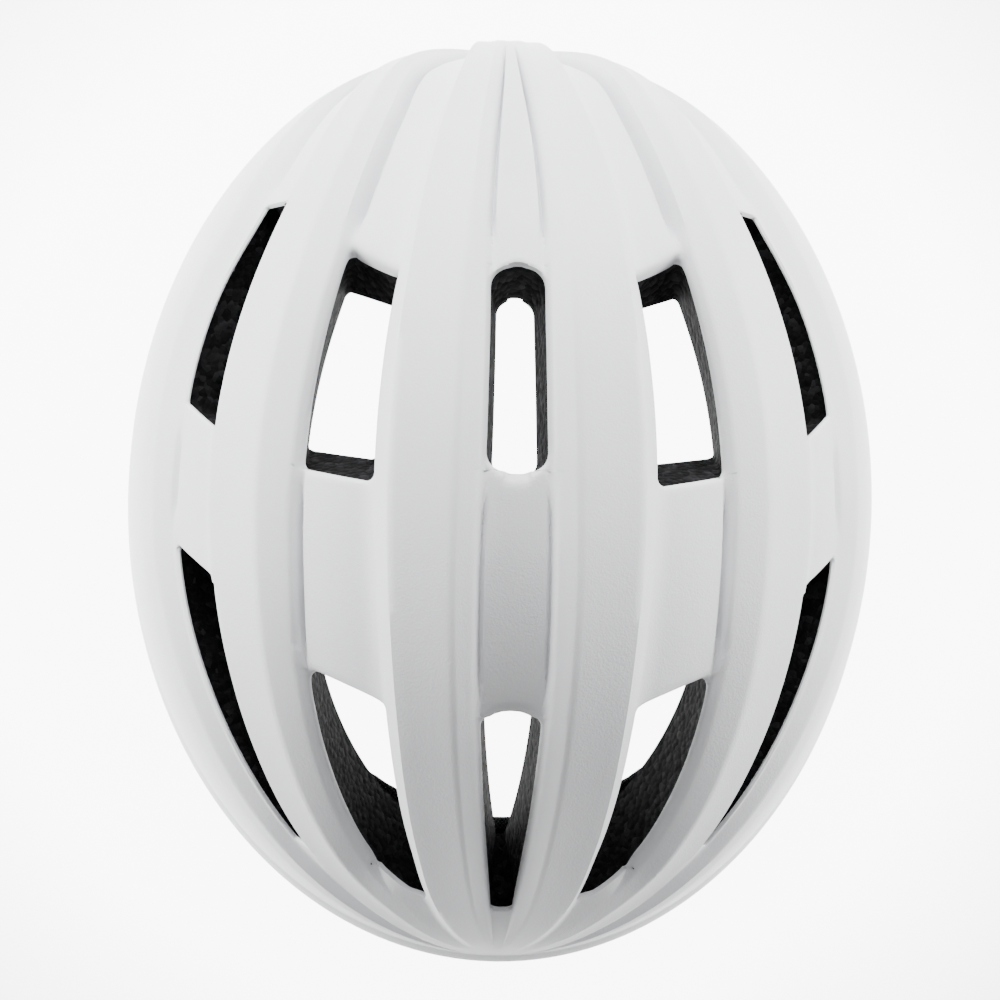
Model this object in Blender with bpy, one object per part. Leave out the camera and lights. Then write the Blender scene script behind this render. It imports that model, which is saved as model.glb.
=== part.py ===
"""Road cycling helmet: shell, foam liner, pads, fit system and straps.

Metres, +Z up, front of the helmet towards -Y, wearer's left towards +X.
The origin is the middle of the head opening, where a head holds the helmet.
"""
import math

import bmesh
import bpy
from mathutils import Matrix, Vector

MM = 0.001
GAP = 0.3 * MM
LINING_GAP = 0.7 * MM

# Dome: an ellipsoid whose long axis falls towards the rear and ends on the rim
HALF_WIDTH = 109 * MM
HALF_LENGTH = 136 * MM
DOME_HEIGHT = 112 * MM
DOME_CENTRE = Vector((0, 1 * MM, -16 * MM))
AXIS_TILT = math.radians(13)

# Walls
SHELL_WALL = 1.0 * MM
FOAM_WALL_CROWN = 24 * MM
FOAM_WALL_ENDS = 30 * MM

# Rim roll: how far the edge stands out and drops below the dome's rim line
RIM_BULGE_FRONT = 3.0 * MM
RIM_BULGE_SIDE = 1.0 * MM
RIM_DROP_FRONT = 8 * MM
RIM_DROP_SIDE = 14 * MM
RIM_DROP_REAR = 10 * MM

# Ribs and channels, as angles round the dome's long axis from the crown line
CENTRE_VENT_EDGE = 5.2
RIB_1_INNER = 9.3
RIB_1_OUTER = 19.8
CHANNEL_1_INNER = 23.2
CHANNEL_1_OUTER = 34.6
RIB_2_INNER = 40.0
RIB_2_SHOULDER = 50.0
RIB_2_OUTER = 52.0
CHANNEL_2_OUTER = 60.0
RIB_3_INNER = 65.0
SIDE_LINES = (73.0, 81.5)
RIM_ANGLE = 90.0
CHANNEL_DEPTH = 6.0 * MM
SIDE_CHANNEL_INNER_DEPTH = 1.0 * MM
SIDE_CHANNEL_OUTER_DEPTH = 3.5 * MM

# Vent ends along the helmet (plan Y), each at a few angles from the crown line
REAR_VENT_REAR = ((0, 69), (23, 67.6), (35, 73.5), (52, 88), (60, 89), (90, 84))
REAR_VENT_FRONT = ((0, 9), (23, 6.5), (35, 9.4), (52, 22), (60, 30.6), (90, 36))
FRONT_VENT_REAR = ((0, -62), (23, -58.8), (35, -48.8), (52, -22), (60, -11.5), (90, -4))
FRONT_VENT_FRONT = ((0, -118), (23, -115.6), (35, -115.6), (52, -101), (60, -100), (90, -97))
VENT_END_WIDTH = 0.45
FRONT_ROWS = 4
VENT_ROWS = 6
BRIDGE_ROWS = 4
REAR_ROWS = 6

# Pads: their spans along and across the cavity, and how much thinner their edges are
PAD_THICKNESS = 6 * MM
PAD_CROWN = 0.5
HOOK_THICKNESS = 0.8 * MM
BROW_PAD_BEARING = (-46, 46)
BROW_PAD_HEIGHT = (4, 13)
CROWN_PAD_Y = (-44, 52)
CROWN_PAD_ANGLES = (9.5, 19.5)
SIDE_PAD_Y = (-30, 46)
SIDE_PAD_ANGLES = (41, 50)
NAPE_PAD_ANGLES = (9, 33)
NAPE_PAD_HALF_HEIGHT = 6 * MM

# Fit ring: an arc that hangs from the temple pins and falls towards the nape
PIN_HEIGHT = -15 * MM
RING_CLEARANCE = 8 * MM
STRIP_CLEARANCE = 1.76 * MM
RING_FALL = math.radians(33)
BAND_WALL = 1.5 * MM
BAND_HALF_HEIGHT = 5.5 * MM
PINION_RADIUS = 4.1 * MM
PINION_TEETH = 12
TOOTH_DEPTH = 0.8 * MM
RACK_HEIGHT = 3.7 * MM
BAND_SHOULDER = (42.0, 34.0)
BAND_TAIL_ANGLE = -16.0
SLEEVE_HALF_ANGLE = 7.0
CRADLE_WALL = 2.5 * MM
CRADLE_GAP = 0.5 * MM
CRADLE_HALF_ANGLE = 38.0
CRADLE_HALF_HEIGHT = 10 * MM
HOUSING_HALF_ANGLE = 13.0
HOUSING_WALL = 2.0 * MM
DIAL_RADIUS = 12.5 * MM
DIAL_HEIGHT = 8 * MM
DIAL_FLUTES = 18
FLUTE_DEPTH = 0.9 * MM
PIN_RADIUS = 4 * MM
STRIP_WIDTH = 12 * MM
STRIP_WALL = 1.5 * MM
STRIP_TOP_ANGLE = 4.0
SOCKET_SPAN = (157, 165)
SOCKET_HALF_ANGLE = 13
SOCKET_WALL = 1.2 * MM

# Straps and buckle
WEB_WIDTH = 12 * MM
WEB_WALL = 1.2 * MM
FRONT_ANCHOR_Y = -55 * MM
REAR_ANCHOR_Y = 55 * MM
ANCHOR_SIZE = (18 * MM, 11 * MM, 5 * MM)
DIVIDER_PLACE = Vector((71 * MM, -4 * MM, -100 * MM))
DIVIDER_LEAN = 0.2
DIVIDER_WALL = 5 * MM
DIVIDER_APEX = 9 * MM
DIVIDER_EDGE = 15 * MM
DIVIDER_FOOT = -11 * MM
LEVER_LENGTH = 14 * MM
LEVER_WALL = 2 * MM
LEVER_WIDTH = 10 * MM
BUCKLE_PLACE = Vector((0, -38 * MM, -148 * MM))
BUCKLE_LENGTH = 26 * MM
BUCKLE_WIDTH = 22 * MM
BUCKLE_WALL = 8 * MM
PLUG_LENGTH = 14 * MM
PRONG_LENGTH = 20 * MM
PRONG_WALL = 4 * MM

SIDES = (("left", 1), ("right", -1))
X_DIR = Vector((1, 0, 0))
AXIS_DIR = Vector((0, math.cos(AXIS_TILT), -math.sin(AXIS_TILT)))
UP_DIR = Vector((0, math.sin(AXIS_TILT), math.cos(AXIS_TILT)))
RING_BACK = Vector((0, math.cos(RING_FALL), -math.sin(RING_FALL)))
RING_UP = Vector((0, math.sin(RING_FALL), math.cos(RING_FALL)))
PIN_LINE = Vector((0, 0, PIN_HEIGHT))


def cavity_reach(angle):
    """Distance from the dome's centre to the cavity wall behind it, at an angle above the long axis."""
    back = math.cos(angle) / (HALF_LENGTH - FOAM_WALL_ENDS)
    rise = math.sin(angle) / (DOME_HEIGHT - FOAM_WALL_CROWN)
    return 1 / math.hypot(back, rise)


# Fit ring sizes that follow the cavity, so that the ring and the height strip stay inside it
RING_RADIUS = HALF_WIDTH - FOAM_WALL_CROWN - RING_CLEARANCE
BAND_INSIDE = RING_RADIUS - BAND_WALL / 2
BAND_OUTSIDE = RING_RADIUS + BAND_WALL / 2
CRADLE_OUTSIDE = BAND_INSIDE - CRADLE_GAP
CRADLE_INSIDE = CRADLE_OUTSIDE - CRADLE_WALL
STRIP_OUTSIDE = CRADLE_INSIDE + CRADLE_WALL / 2 + STRIP_WALL / 2
STRIP_REACH = cavity_reach(math.radians(STRIP_TOP_ANGLE) + AXIS_TILT) - STRIP_CLEARANCE
RING_SETBACK = STRIP_REACH - STRIP_OUTSIDE
RING_CENTRE = PIN_LINE + RING_BACK * RING_SETBACK


def blend_list(pairs, value):
    """Read a line of (position, height) pairs at a position."""
    for (x0, y0), (x1, y1) in zip(pairs, pairs[1:]):
        if value <= x1:
            return y0 + (y1 - y0) * (value - x0) / (x1 - x0)
    return pairs[-1][1]


def smooth_step(low, high, value):
    """Rise smoothly from 0 at low to 1 at high."""
    t = min(1.0, max(0.0, (value - low) / (high - low)))
    return t * t * (3 - 2 * t)


def dome_frame(theta, phi):
    """Point and outward normal of the smooth dome."""
    along = -math.cos(theta)
    across = math.sin(theta) * math.sin(phi)
    up = math.sin(theta) * math.cos(phi)
    point = DOME_CENTRE + AXIS_DIR * HALF_LENGTH * along + X_DIR * HALF_WIDTH * across
    point += UP_DIR * DOME_HEIGHT * up
    normal = AXIS_DIR * (along / HALF_LENGTH) + X_DIR * (across / HALF_WIDTH) + UP_DIR * (up / DOME_HEIGHT)
    return point, normal.normalized()


def theta_at(plan_y, phi):
    """Angle along the dome's axis at which a rib line passes a plan position."""
    reach = HALF_LENGTH * math.cos(AXIS_TILT)
    lift = DOME_HEIGHT * math.cos(phi) * math.sin(AXIS_TILT)
    return math.atan2(reach, lift) + math.asin((plan_y - DOME_CENTRE.y) / math.hypot(reach, lift))


def channel_depth(theta, phi):
    """How far the outer surface lies below the rib tops."""
    steps = (
        (0, CHANNEL_DEPTH), (CENTRE_VENT_EDGE, CHANNEL_DEPTH), (RIB_1_INNER, 0), (RIB_1_OUTER, 0),
        (CHANNEL_1_INNER, CHANNEL_DEPTH), (CHANNEL_1_OUTER, CHANNEL_DEPTH), (RIB_2_INNER, 0),
        (RIB_2_SHOULDER, 0), (RIB_2_OUTER, SIDE_CHANNEL_INNER_DEPTH),
        (CHANNEL_2_OUTER, SIDE_CHANNEL_OUTER_DEPTH), (RIB_3_INNER, 0), (RIM_ANGLE, 0),
    )
    angle = math.degrees(theta)
    fade = smooth_step(8, 48, angle) * (1 - smooth_step(150, 176, angle))
    return blend_list(steps, abs(math.degrees(phi))) * fade


def outer_point(theta, phi, inset):
    """Point of the ribbed outside, moved in along the smooth normal."""
    point, normal = dome_frame(theta, phi)
    return point - normal * (channel_depth(theta, phi) + inset)


def inner_point(theta, phi, inset=0.0):
    """Point of the head cavity's wall, moved further in by inset.

    The way in is steeper than the normal near the crown, so that the vents there open downwards.
    """
    point, normal = dome_frame(theta, phi)
    sideways = 0.35 + 0.65 * smooth_step(35, 75, abs(math.degrees(phi)))
    way = Vector((normal.x * sideways, normal.y, normal.z)).normalized()
    wall = FOAM_WALL_CROWN + (FOAM_WALL_ENDS - FOAM_WALL_CROWN) * math.cos(theta) ** 2
    return point - way * (wall + inset)


def by_end(theta, front, side, rear):
    """Blend a rim size from the front pole over the side to the rear pole."""
    end = front if theta < math.pi / 2 else rear
    return side + (end - side) * math.cos(theta) ** 2


def rim_frame(theta, side):
    """Rim line point, outward direction, bulge and drop at one place of the rim."""
    point, outward = dome_frame(theta, side * math.radians(RIM_ANGLE))
    bulge = by_end(theta, RIM_BULGE_FRONT, RIM_BULGE_SIDE, RIM_BULGE_SIDE)
    drop = by_end(theta, RIM_DROP_FRONT, RIM_DROP_SIDE, RIM_DROP_REAR)
    return point, outward, bulge, drop


def rim_roll(theta, side, inset):
    """Three points of the rolled edge, from the rim line down to the bottom edge."""
    point, outward, bulge, drop = rim_frame(theta, side)
    steps = ((0.7, 0.3), (1.0, 0.65), (0.0, 1.0))
    return [point + outward * (bulge * out - inset) - UP_DIR * (drop * down) for out, down in steps]


HALF_COLUMNS = (
    CENTRE_VENT_EDGE, RIB_1_INNER, (RIB_1_INNER + RIB_1_OUTER) / 2, RIB_1_OUTER, CHANNEL_1_INNER,
    (CHANNEL_1_INNER + CHANNEL_1_OUTER) / 2, CHANNEL_1_OUTER, RIB_2_INNER, (RIB_2_INNER + RIB_2_OUTER) / 2,
    RIB_2_SHOULDER, RIB_2_OUTER, CHANNEL_2_OUTER, RIB_3_INNER, *SIDE_LINES, RIM_ANGLE,
)
COLUMNS = tuple(-angle for angle in reversed(HALF_COLUMNS)) + (0.0,) + HALF_COLUMNS
CHANNELS = (
    (-CENTRE_VENT_EDGE, CENTRE_VENT_EDGE),
    (CHANNEL_1_INNER, CHANNEL_1_OUTER), (-CHANNEL_1_OUTER, -CHANNEL_1_INNER),
    (RIB_2_OUTER, CHANNEL_2_OUTER), (-CHANNEL_2_OUTER, -RIB_2_OUTER),
)
FRONT_VENT_START = FRONT_ROWS
REAR_VENT_START = FRONT_ROWS + VENT_ROWS + BRIDGE_ROWS
LAST_ROW = REAR_VENT_START + VENT_ROWS + REAR_ROWS
VENT_STARTS = (FRONT_VENT_START, REAR_VENT_START)


def row_theta(row, phi):
    """Angle along the axis of a grid row where it crosses a rib line."""
    angle = abs(math.degrees(phi))
    keys = [0.0]
    for ends in (FRONT_VENT_FRONT, FRONT_VENT_REAR, REAR_VENT_FRONT, REAR_VENT_REAR):
        keys.append(theta_at(blend_list(ends, angle) * MM, phi))
    keys.append(math.pi)
    first = 0
    for index, count in enumerate((FRONT_ROWS, VENT_ROWS, BRIDGE_ROWS, VENT_ROWS, REAR_ROWS)):
        if row <= first + count:
            return keys[index] + (keys[index + 1] - keys[index]) * (row - first) / count
        first += count
    return math.pi


def column_phi(row, column):
    """Rib-line angle of a grid column; a vent's edges draw together at its ends."""
    angle = COLUMNS[column]
    for low, high in CHANNELS:
        for start in VENT_STARTS:
            if angle in (low, high) and start <= row <= start + VENT_ROWS:
                along = abs(2 * (row - start) / VENT_ROWS - 1)
                width = max(VENT_END_WIDTH, (1 - along ** 3) ** (1 / 3))
                middle = (low + high) / 2
                angle = middle + (angle - middle) * width
    return math.radians(angle)


def is_open(row, column):
    """True where the grid cell lies inside a vent."""
    middle = (COLUMNS[column] + COLUMNS[column + 1]) / 2
    in_rows = any(start <= row < start + VENT_ROWS for start in VENT_STARTS)
    return in_rows and any(low < middle < high for low, high in CHANNELS)


def rim_places():
    """Grid places of the rim in order: front pole, left side, rear pole, right side."""
    last = len(COLUMNS) - 1
    left = [(row, last, 1) for row in range(1, LAST_ROW)]
    right = [(row, 0, -1) for row in range(LAST_ROW - 1, 0, -1)]
    return [(0, last, 1)] + left + [(LAST_ROW, last, 1)] + right


def add_layer(mesh, place):
    """Add one surface of the vented grid; each pole is a single vertex."""
    grid = []
    for row in range(LAST_ROW + 1):
        line = []
        for column in range(len(COLUMNS)):
            if row in (0, LAST_ROW) and column:
                line.append(line[0])
                continue
            phi = column_phi(row, column)
            line.append(mesh.verts.new(place(row_theta(row, phi), phi)))
        grid.append(line)
    return grid


def add_face(mesh, corners):
    """Add a face from corners, unless two of them are one pole vertex."""
    if len(set(corners)) == len(corners):
        mesh.faces.new(corners)


def add_split_face(mesh, corners, turn):
    """Add a four-cornered face as two triangles; turn picks the other diagonal.

    Facing surfaces split alike, so that they keep their gap.
    """
    a, b, c, d = corners
    if turn:
        a, b, c, d = b, c, d, a
    add_face(mesh, (a, b, c))
    add_face(mesh, (a, c, d))


def vented_body(outside, inside, edge_lines):
    """Closed body of two vented surfaces, joined at the vents and round the rim."""
    mesh = bmesh.new()
    outer = add_layer(mesh, outside)
    inner = add_layer(mesh, inside)
    for row in range(LAST_ROW):
        for column in range(len(COLUMNS) - 1):
            corners = ((row, column), (row, column + 1), (row + 1, column + 1), (row + 1, column))
            if not is_open(row, column):
                turn = COLUMNS[column] < 0
                for layer in (outer, inner):
                    add_split_face(mesh, [layer[r][c] for r, c in corners], turn)
                continue
            beside = ((row - 1, column), (row, column + 1), (row + 1, column), (row, column - 1))
            for index, (near_row, near_column) in enumerate(beside):
                if not is_open(near_row, near_column):
                    (r0, c0), (r1, c1) = corners[index], corners[(index + 1) % 4]
                    add_face(mesh, [outer[r0][c0], outer[r1][c1], inner[r1][c1], inner[r0][c0]])
    places = rim_places()
    lines = [[outer[row][column] for row, column, side in places]]
    for edge_line in edge_lines:
        angles = [(row_theta(row, math.radians(RIM_ANGLE)), side) for row, column, side in places]
        lines.append([mesh.verts.new(edge_line(theta, side)) for theta, side in angles])
    lines.append([inner[row][column] for row, column, side in places])
    for upper, lower in zip(lines, lines[1:]):
        for index in range(len(places)):
            after = (index + 1) % len(places)
            corners = (upper[index], upper[after], lower[after], lower[index])
            rising = upper[index].co.dot(UP_DIR) < lower[index].co.dot(UP_DIR)
            add_split_face(mesh, corners, rising)
    return mesh


def material(name, colour, roughness, metallic=0.0):
    """Principled material of one finish, made once."""
    if name in bpy.data.materials:
        return bpy.data.materials[name]
    finish = bpy.data.materials.new(name)
    finish.use_nodes = True
    shader = finish.node_tree.nodes["Principled BSDF"]
    shader.inputs["Base Color"].default_value = (*colour, 1)
    shader.inputs["Roughness"].default_value = roughness
    shader.inputs["Metallic"].default_value = metallic
    return finish


def shell_white():
    """Matte cool white of the outer skin."""
    return material("shell_white", (0.80, 0.81, 0.83), 0.5)


def bead_foam():
    """Black expanded bead foam."""
    return material("bead_foam", (0.02, 0.02, 0.022), 0.85)


def pad_fabric():
    """Black knitted pad cover."""
    return material("pad_fabric", (0.025, 0.025, 0.028), 0.95)


def black_plastic():
    """Black moulded plastic of the fit system and buckle."""
    return material("black_plastic", (0.018, 0.018, 0.02), 0.45)


def grey_plastic():
    """Dark grey moulded plastic of the small hardware."""
    return material("grey_plastic", (0.10, 0.10, 0.11), 0.5)


def webbing():
    """Black woven strap."""
    return material("webbing", (0.02, 0.02, 0.022), 0.9)


def finish_object(name, mesh, finish, place=Matrix.Identity(4), sharp=35):
    """Make an object of a mesh whose points are in world space, with its origin at a place."""
    bmesh.ops.recalc_face_normals(mesh, faces=mesh.faces)
    bmesh.ops.transform(mesh, matrix=place.inverted(), verts=mesh.verts)
    data = bpy.data.meshes.new(name)
    mesh.to_mesh(data)
    mesh.free()
    data.shade_smooth()
    data.set_sharp_from_angle(angle=math.radians(sharp))
    data.materials.append(finish)
    piece = bpy.data.objects.new(name, data)
    piece.matrix_world = place
    bpy.context.scene.collection.objects.link(piece)
    return piece


def loft_mesh(sections):
    """Closed mesh through sections of equally many points, with flat caps."""
    mesh = bmesh.new()
    rings = [[mesh.verts.new(point) for point in section] for section in sections]
    for first, second in zip(rings, rings[1:]):
        for index in range(len(first)):
            after = (index + 1) % len(first)
            mesh.faces.new((first[index], first[after], second[after], second[index]))
    mesh.faces.new(list(reversed(rings[0])))
    mesh.faces.new(rings[-1])
    return mesh


def loft(name, sections, finish, place=Matrix.Identity(4)):
    """Named object lofted through sections."""
    return finish_object(name, loft_mesh(sections), finish, place)


def soften(piece, width, segments=2):
    """Round a piece's hard edges with a Bevel modifier."""
    bevel = piece.modifiers.new("soft edges", "BEVEL")
    bevel.width = width
    bevel.segments = segments
    bevel.limit_method = "ANGLE"
    bevel.angle_limit = math.radians(40)
    return piece


def cut(piece, cutter):
    """Cut a piece with a hidden cutter."""
    cutter.hide_render = True
    cutter.display_type = "WIRE"
    boolean = piece.modifiers.new("cut", "BOOLEAN")
    boolean.operation = "DIFFERENCE"
    boolean.object = cutter


def turned(name, start, axis, steps, finish, sides=24, place=Matrix.Identity(4), waves=0, wave_depth=0.0):
    """Round piece along an axis through (distance, radius) steps, with an optional wavy outline."""
    first = axis.orthogonal().normalized()
    second = axis.cross(first)
    sections = []
    for distance, radius in steps:
        section = []
        for index in range(sides):
            angle = 2 * math.pi * index / sides
            reach = radius + (wave_depth * math.cos(waves * angle) if waves else 0.0)
            way = first * math.cos(angle) + second * math.sin(angle)
            section.append(start + axis * distance + way * reach)
        sections.append(section)
    return loft(name, sections, finish, place)


def roll_line(step, inset):
    """Edge line along one step of the rolled rim."""
    return lambda theta, side: rim_roll(theta, side, inset)[step]


def foot_point(theta, side):
    """Inner corner of the liner's flat bottom edge."""
    drop = rim_frame(theta, side)[3]
    return inner_point(theta, side * math.radians(RIM_ANGLE)) - UP_DIR * drop


def build_shell():
    """Thin ribbed skin that rolls round the rim."""
    lines = [roll_line(step, 0) for step in (0, 1, 2)]
    lines += [roll_line(step, SHELL_WALL) for step in (2, 1, 0)]
    body = vented_body(
        lambda theta, phi: outer_point(theta, phi, 0),
        lambda theta, phi: outer_point(theta, phi, SHELL_WALL), lines)
    finish_object("outer_shell", body, shell_white(), sharp=25)


def build_liner():
    """Foam body between the skin and the head cavity."""
    inset = SHELL_WALL + GAP
    lines = [roll_line(step, inset) for step in (0, 1, 2)] + [foot_point]
    body = vented_body(lambda theta, phi: outer_point(theta, phi, inset), inner_point, lines)
    finish_object("foam_liner", body, bead_foam(), sharp=25)


def rib_place(plan_y, angle):
    """Dome angles of a plan position on a rib line."""
    phi = math.radians(angle)
    return theta_at(plan_y * MM, phi), phi


def rim_place(around, height):
    """Dome angles of a place by its bearing from the front and its angle above the rim."""
    bearing = math.radians(around)
    rise = math.radians(height)
    level = math.cos(rise)
    return math.acos(level * math.cos(bearing)), math.atan2(level * math.sin(bearing), math.sin(rise))


def axis_place(along, angle):
    """Dome angles given directly in degrees."""
    return math.radians(along), math.radians(angle)


def spread(low, high, count):
    """Evenly spaced values from low to high."""
    return [low + (high - low) * index / count for index in range(count + 1)]


def lining_piece(name, place, along, across, lift, thickness, finish, crown=0.0, counts=(8, 4)):
    """Sheet on the cavity wall, lifted off it, with edges thinner than its middle by crown."""
    sections = []
    for first, t in zip(spread(*along, counts[0]), spread(-1, 1, counts[0])):
        top = []
        under = []
        for second, s in zip(spread(*across, counts[1]), spread(-1, 1, counts[1])):
            theta, phi = place(first, second)
            full = 1 - crown + crown * (1 - s ** 4) * (1 - t ** 4)
            top.append(inner_point(theta, phi, lift))
            under.append(inner_point(theta, phi, lift + thickness * full))
        sections.append(top + list(reversed(under)))
    return loft(name, sections, finish)


def build_pads():
    """Comfort pads, each held by a hook patch on the liner."""
    pads = [("brow", rim_place, BROW_PAD_BEARING, BROW_PAD_HEIGHT, (16, 4))]
    for side, sign in SIDES:
        crown = [angle * sign for angle in CROWN_PAD_ANGLES]
        flank = [angle * sign for angle in SIDE_PAD_ANGLES]
        pads.append((f"crown_{side}", rib_place, CROWN_PAD_Y, crown, (8, 4)))
        pads.append((f"side_{side}", rib_place, SIDE_PAD_Y, flank, (8, 4)))
    for name, place, along, across, counts in pads:
        lift = LINING_GAP + HOOK_THICKNESS + GAP
        lining_piece(f"{name}_pad", place, along, across, lift, PAD_THICKNESS, pad_fabric(),
                     PAD_CROWN, counts)
        middle = [(3 * low + high) / 4 for low, high in (along, across)]
        far = [(low + 3 * high) / 4 for low, high in (along, across)]
        spans = tuple(zip(middle, far))
        half_counts = tuple(count // 2 for count in counts)
        lining_piece(f"{name}_hook_patch", place, *spans, LINING_GAP, HOOK_THICKNESS, webbing(),
                     0.0, half_counts)


def ring_point(angle, radius, height):
    """Point of the fit ring, by its angle from the nape towards the wearer's left."""
    turn = math.radians(angle)
    return RING_CENTRE + (X_DIR * math.sin(turn) + RING_BACK * math.cos(turn)) * radius + RING_UP * height


def ring_sweep(name, stations, finish, place=RING_CENTRE):
    """Piece that follows the fit ring through stations of (angle, (radius, height) outline)."""
    sections = [[ring_point(angle, *corner) for corner in outline] for angle, outline in stations]
    return loft(name, sections, finish, Matrix.Translation(place))


def oblong(inside, outside, low, high):
    """Rectangle in radius and height."""
    return ((inside, low), (outside, low), (outside, high), (inside, high))


def channel(inside, web_inside, outside, opening, lip):
    """C-shaped outline that is open towards the head."""
    edge = opening + lip
    return (
        (inside, -edge), (outside, -edge), (outside, edge), (inside, edge),
        (inside, opening), (web_inside, opening), (web_inside, -opening), (inside, -opening),
    )


SLIDE_GAP = 0.35 * MM
PIVOT_ANGLE = 90 + math.degrees(math.asin(RING_SETBACK / RING_RADIUS))
SLEEVE_OUTSIDE = BAND_OUTSIDE + SLIDE_GAP + BAND_WALL
RACK_LOW = PINION_RADIUS + 0.2 * MM
RACK_HIGH = RACK_LOW + RACK_HEIGHT
HOUSING_OUTSIDE = BAND_OUTSIDE + 0.5 * MM + HOUSING_WALL
TOOTH_STEP = 2.9


def band_stations(sign):
    """Stations of one band: plain arm, shoulder, then a toothed rack on its own side of the pinion."""
    stations = [(angle, -BAND_HALF_HEIGHT, BAND_HALF_HEIGHT)
                for angle in spread(PIVOT_ANGLE + 5.5, BAND_SHOULDER[0], 14)]
    count = round((BAND_SHOULDER[1] - BAND_TAIL_ANGLE) / TOOTH_STEP)
    for index, angle in enumerate(spread(BAND_SHOULDER[1], BAND_TAIL_ANGLE, 2 * count)):
        tooth = TOOTH_DEPTH if index % 2 else 0.0
        stations.append((angle, -RACK_HIGH, -RACK_LOW - tooth))
    if sign < 0:
        stations = [(angle, -high, -low) for angle, low, high in stations]
    return [(sign * angle, oblong(BAND_INSIDE, BAND_OUTSIDE, low, high)) for angle, low, high in stations]


def build_fit_ring():
    """Temple pins and sleeves, bands, cradle, housing, dial and height strip."""
    wall = inner_point(theta_at(0, math.radians(RIM_ANGLE)), math.radians(RIM_ANGLE)).x
    sleeve_face = math.sqrt(SLEEVE_OUTSIDE ** 2 - (RING_SETBACK - PIN_RADIUS) ** 2)
    sleeve = channel(BAND_INSIDE - 0.5 * MM, BAND_OUTSIDE + SLIDE_GAP, SLEEVE_OUTSIDE,
                     BAND_HALF_HEIGHT + SLIDE_GAP, BAND_WALL)
    for side, sign in SIDES:
        start = PIN_LINE + X_DIR * sign * (wall - LINING_GAP)
        length = wall - LINING_GAP - GAP - sleeve_face
        steps = ((0, PIN_RADIUS), (length, PIN_RADIUS))
        turned(f"temple_pin_{side}", start, X_DIR * -sign, steps, grey_plastic())
        angles = spread(PIVOT_ANGLE - SLEEVE_HALF_ANGLE, PIVOT_ANGLE + SLEEVE_HALF_ANGLE, 4)
        stations = [(sign * angle, sleeve) for angle in angles]
        ring_sweep(f"temple_sleeve_{side}", stations, grey_plastic(), PIN_LINE)
        ring_sweep(f"rack_band_{side}", band_stations(sign), black_plastic())
        pad_angles = spread(*NAPE_PAD_ANGLES, 6)
        stations = []
        for angle, t in zip(pad_angles, spread(-1, 1, 6)):
            full = 1 - PAD_CROWN * t ** 4
            back = CRADLE_INSIDE - GAP
            half = NAPE_PAD_HALF_HEIGHT * full
            outline = oblong(back - PAD_THICKNESS * full, back, -half, half)
            stations.append((sign * angle, outline))
        ring_sweep(f"nape_pad_{side}", stations, pad_fabric(), PIN_LINE)
    stations = []
    for angle in spread(-CRADLE_HALF_ANGLE, CRADLE_HALF_ANGLE, 16):
        half = CRADLE_HALF_HEIGHT * (1 - 0.35 * smooth_step(14, CRADLE_HALF_ANGLE, abs(angle)))
        stations.append((angle, oblong(CRADLE_INSIDE, CRADLE_OUTSIDE, -half, half)))
    ring_sweep("rear_cradle", stations, black_plastic(), PIN_LINE)
    build_dial()
    build_height_strip()


def build_dial():
    """Housing over the racks, with the pinion, the fit dial and its cap on one shaft line."""
    outline = channel(CRADLE_OUTSIDE + GAP, HOUSING_OUTSIDE - HOUSING_WALL, HOUSING_OUTSIDE,
                      RACK_HIGH + 0.4 * MM, 1.8 * MM)
    angles = spread(-HOUSING_HALF_ANGLE, HOUSING_HALF_ANGLE, 6)
    housing = ring_sweep("dial_housing", [(angle, outline) for angle in angles], black_plastic(), PIN_LINE)
    dial_base = HOUSING_OUTSIDE + 0.4 * MM
    stem = PINION_RADIUS * 0.56
    hole = turned("shaft_hole", RING_CENTRE + RING_BACK * RING_RADIUS, RING_BACK,
                  ((0, stem + 0.7 * MM), (2 * HOUSING_WALL + BAND_WALL, stem + 0.7 * MM)), black_plastic())
    cut(housing, hole)
    shaft = RING_CENTRE + RING_BACK * dial_base
    place = Matrix.Translation(shaft)
    face = PINION_RADIUS - 0.6 * MM
    near = BAND_INSIDE - dial_base
    far = BAND_OUTSIDE - dial_base
    steps = ((near, face), (far, face), (far + 0.01 * MM, stem), (-GAP, stem))
    turned("pinion", shaft, RING_BACK, steps, grey_plastic(), 4 * PINION_TEETH, place,
           PINION_TEETH, 0.2 * MM)
    edge = DIAL_RADIUS - FLUTE_DEPTH / 2
    shoulder = DIAL_HEIGHT - 1.5 * MM
    steps = ((0, edge - 1 * MM), (1 * MM, edge), (shoulder, edge), (DIAL_HEIGHT, edge - 1.2 * MM))
    turned("fit_dial", shaft, RING_BACK, steps, black_plastic(), 4 * DIAL_FLUTES, place,
           DIAL_FLUTES, FLUTE_DEPTH / 2)
    cap = DIAL_RADIUS * 0.64
    top = DIAL_HEIGHT + GAP
    steps = ((top, cap), (top + 0.8 * MM, cap), (top + 1.4 * MM, cap - 1 * MM))
    turned("dial_cap", shaft, RING_BACK, steps, grey_plastic(), 32, place)


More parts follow.
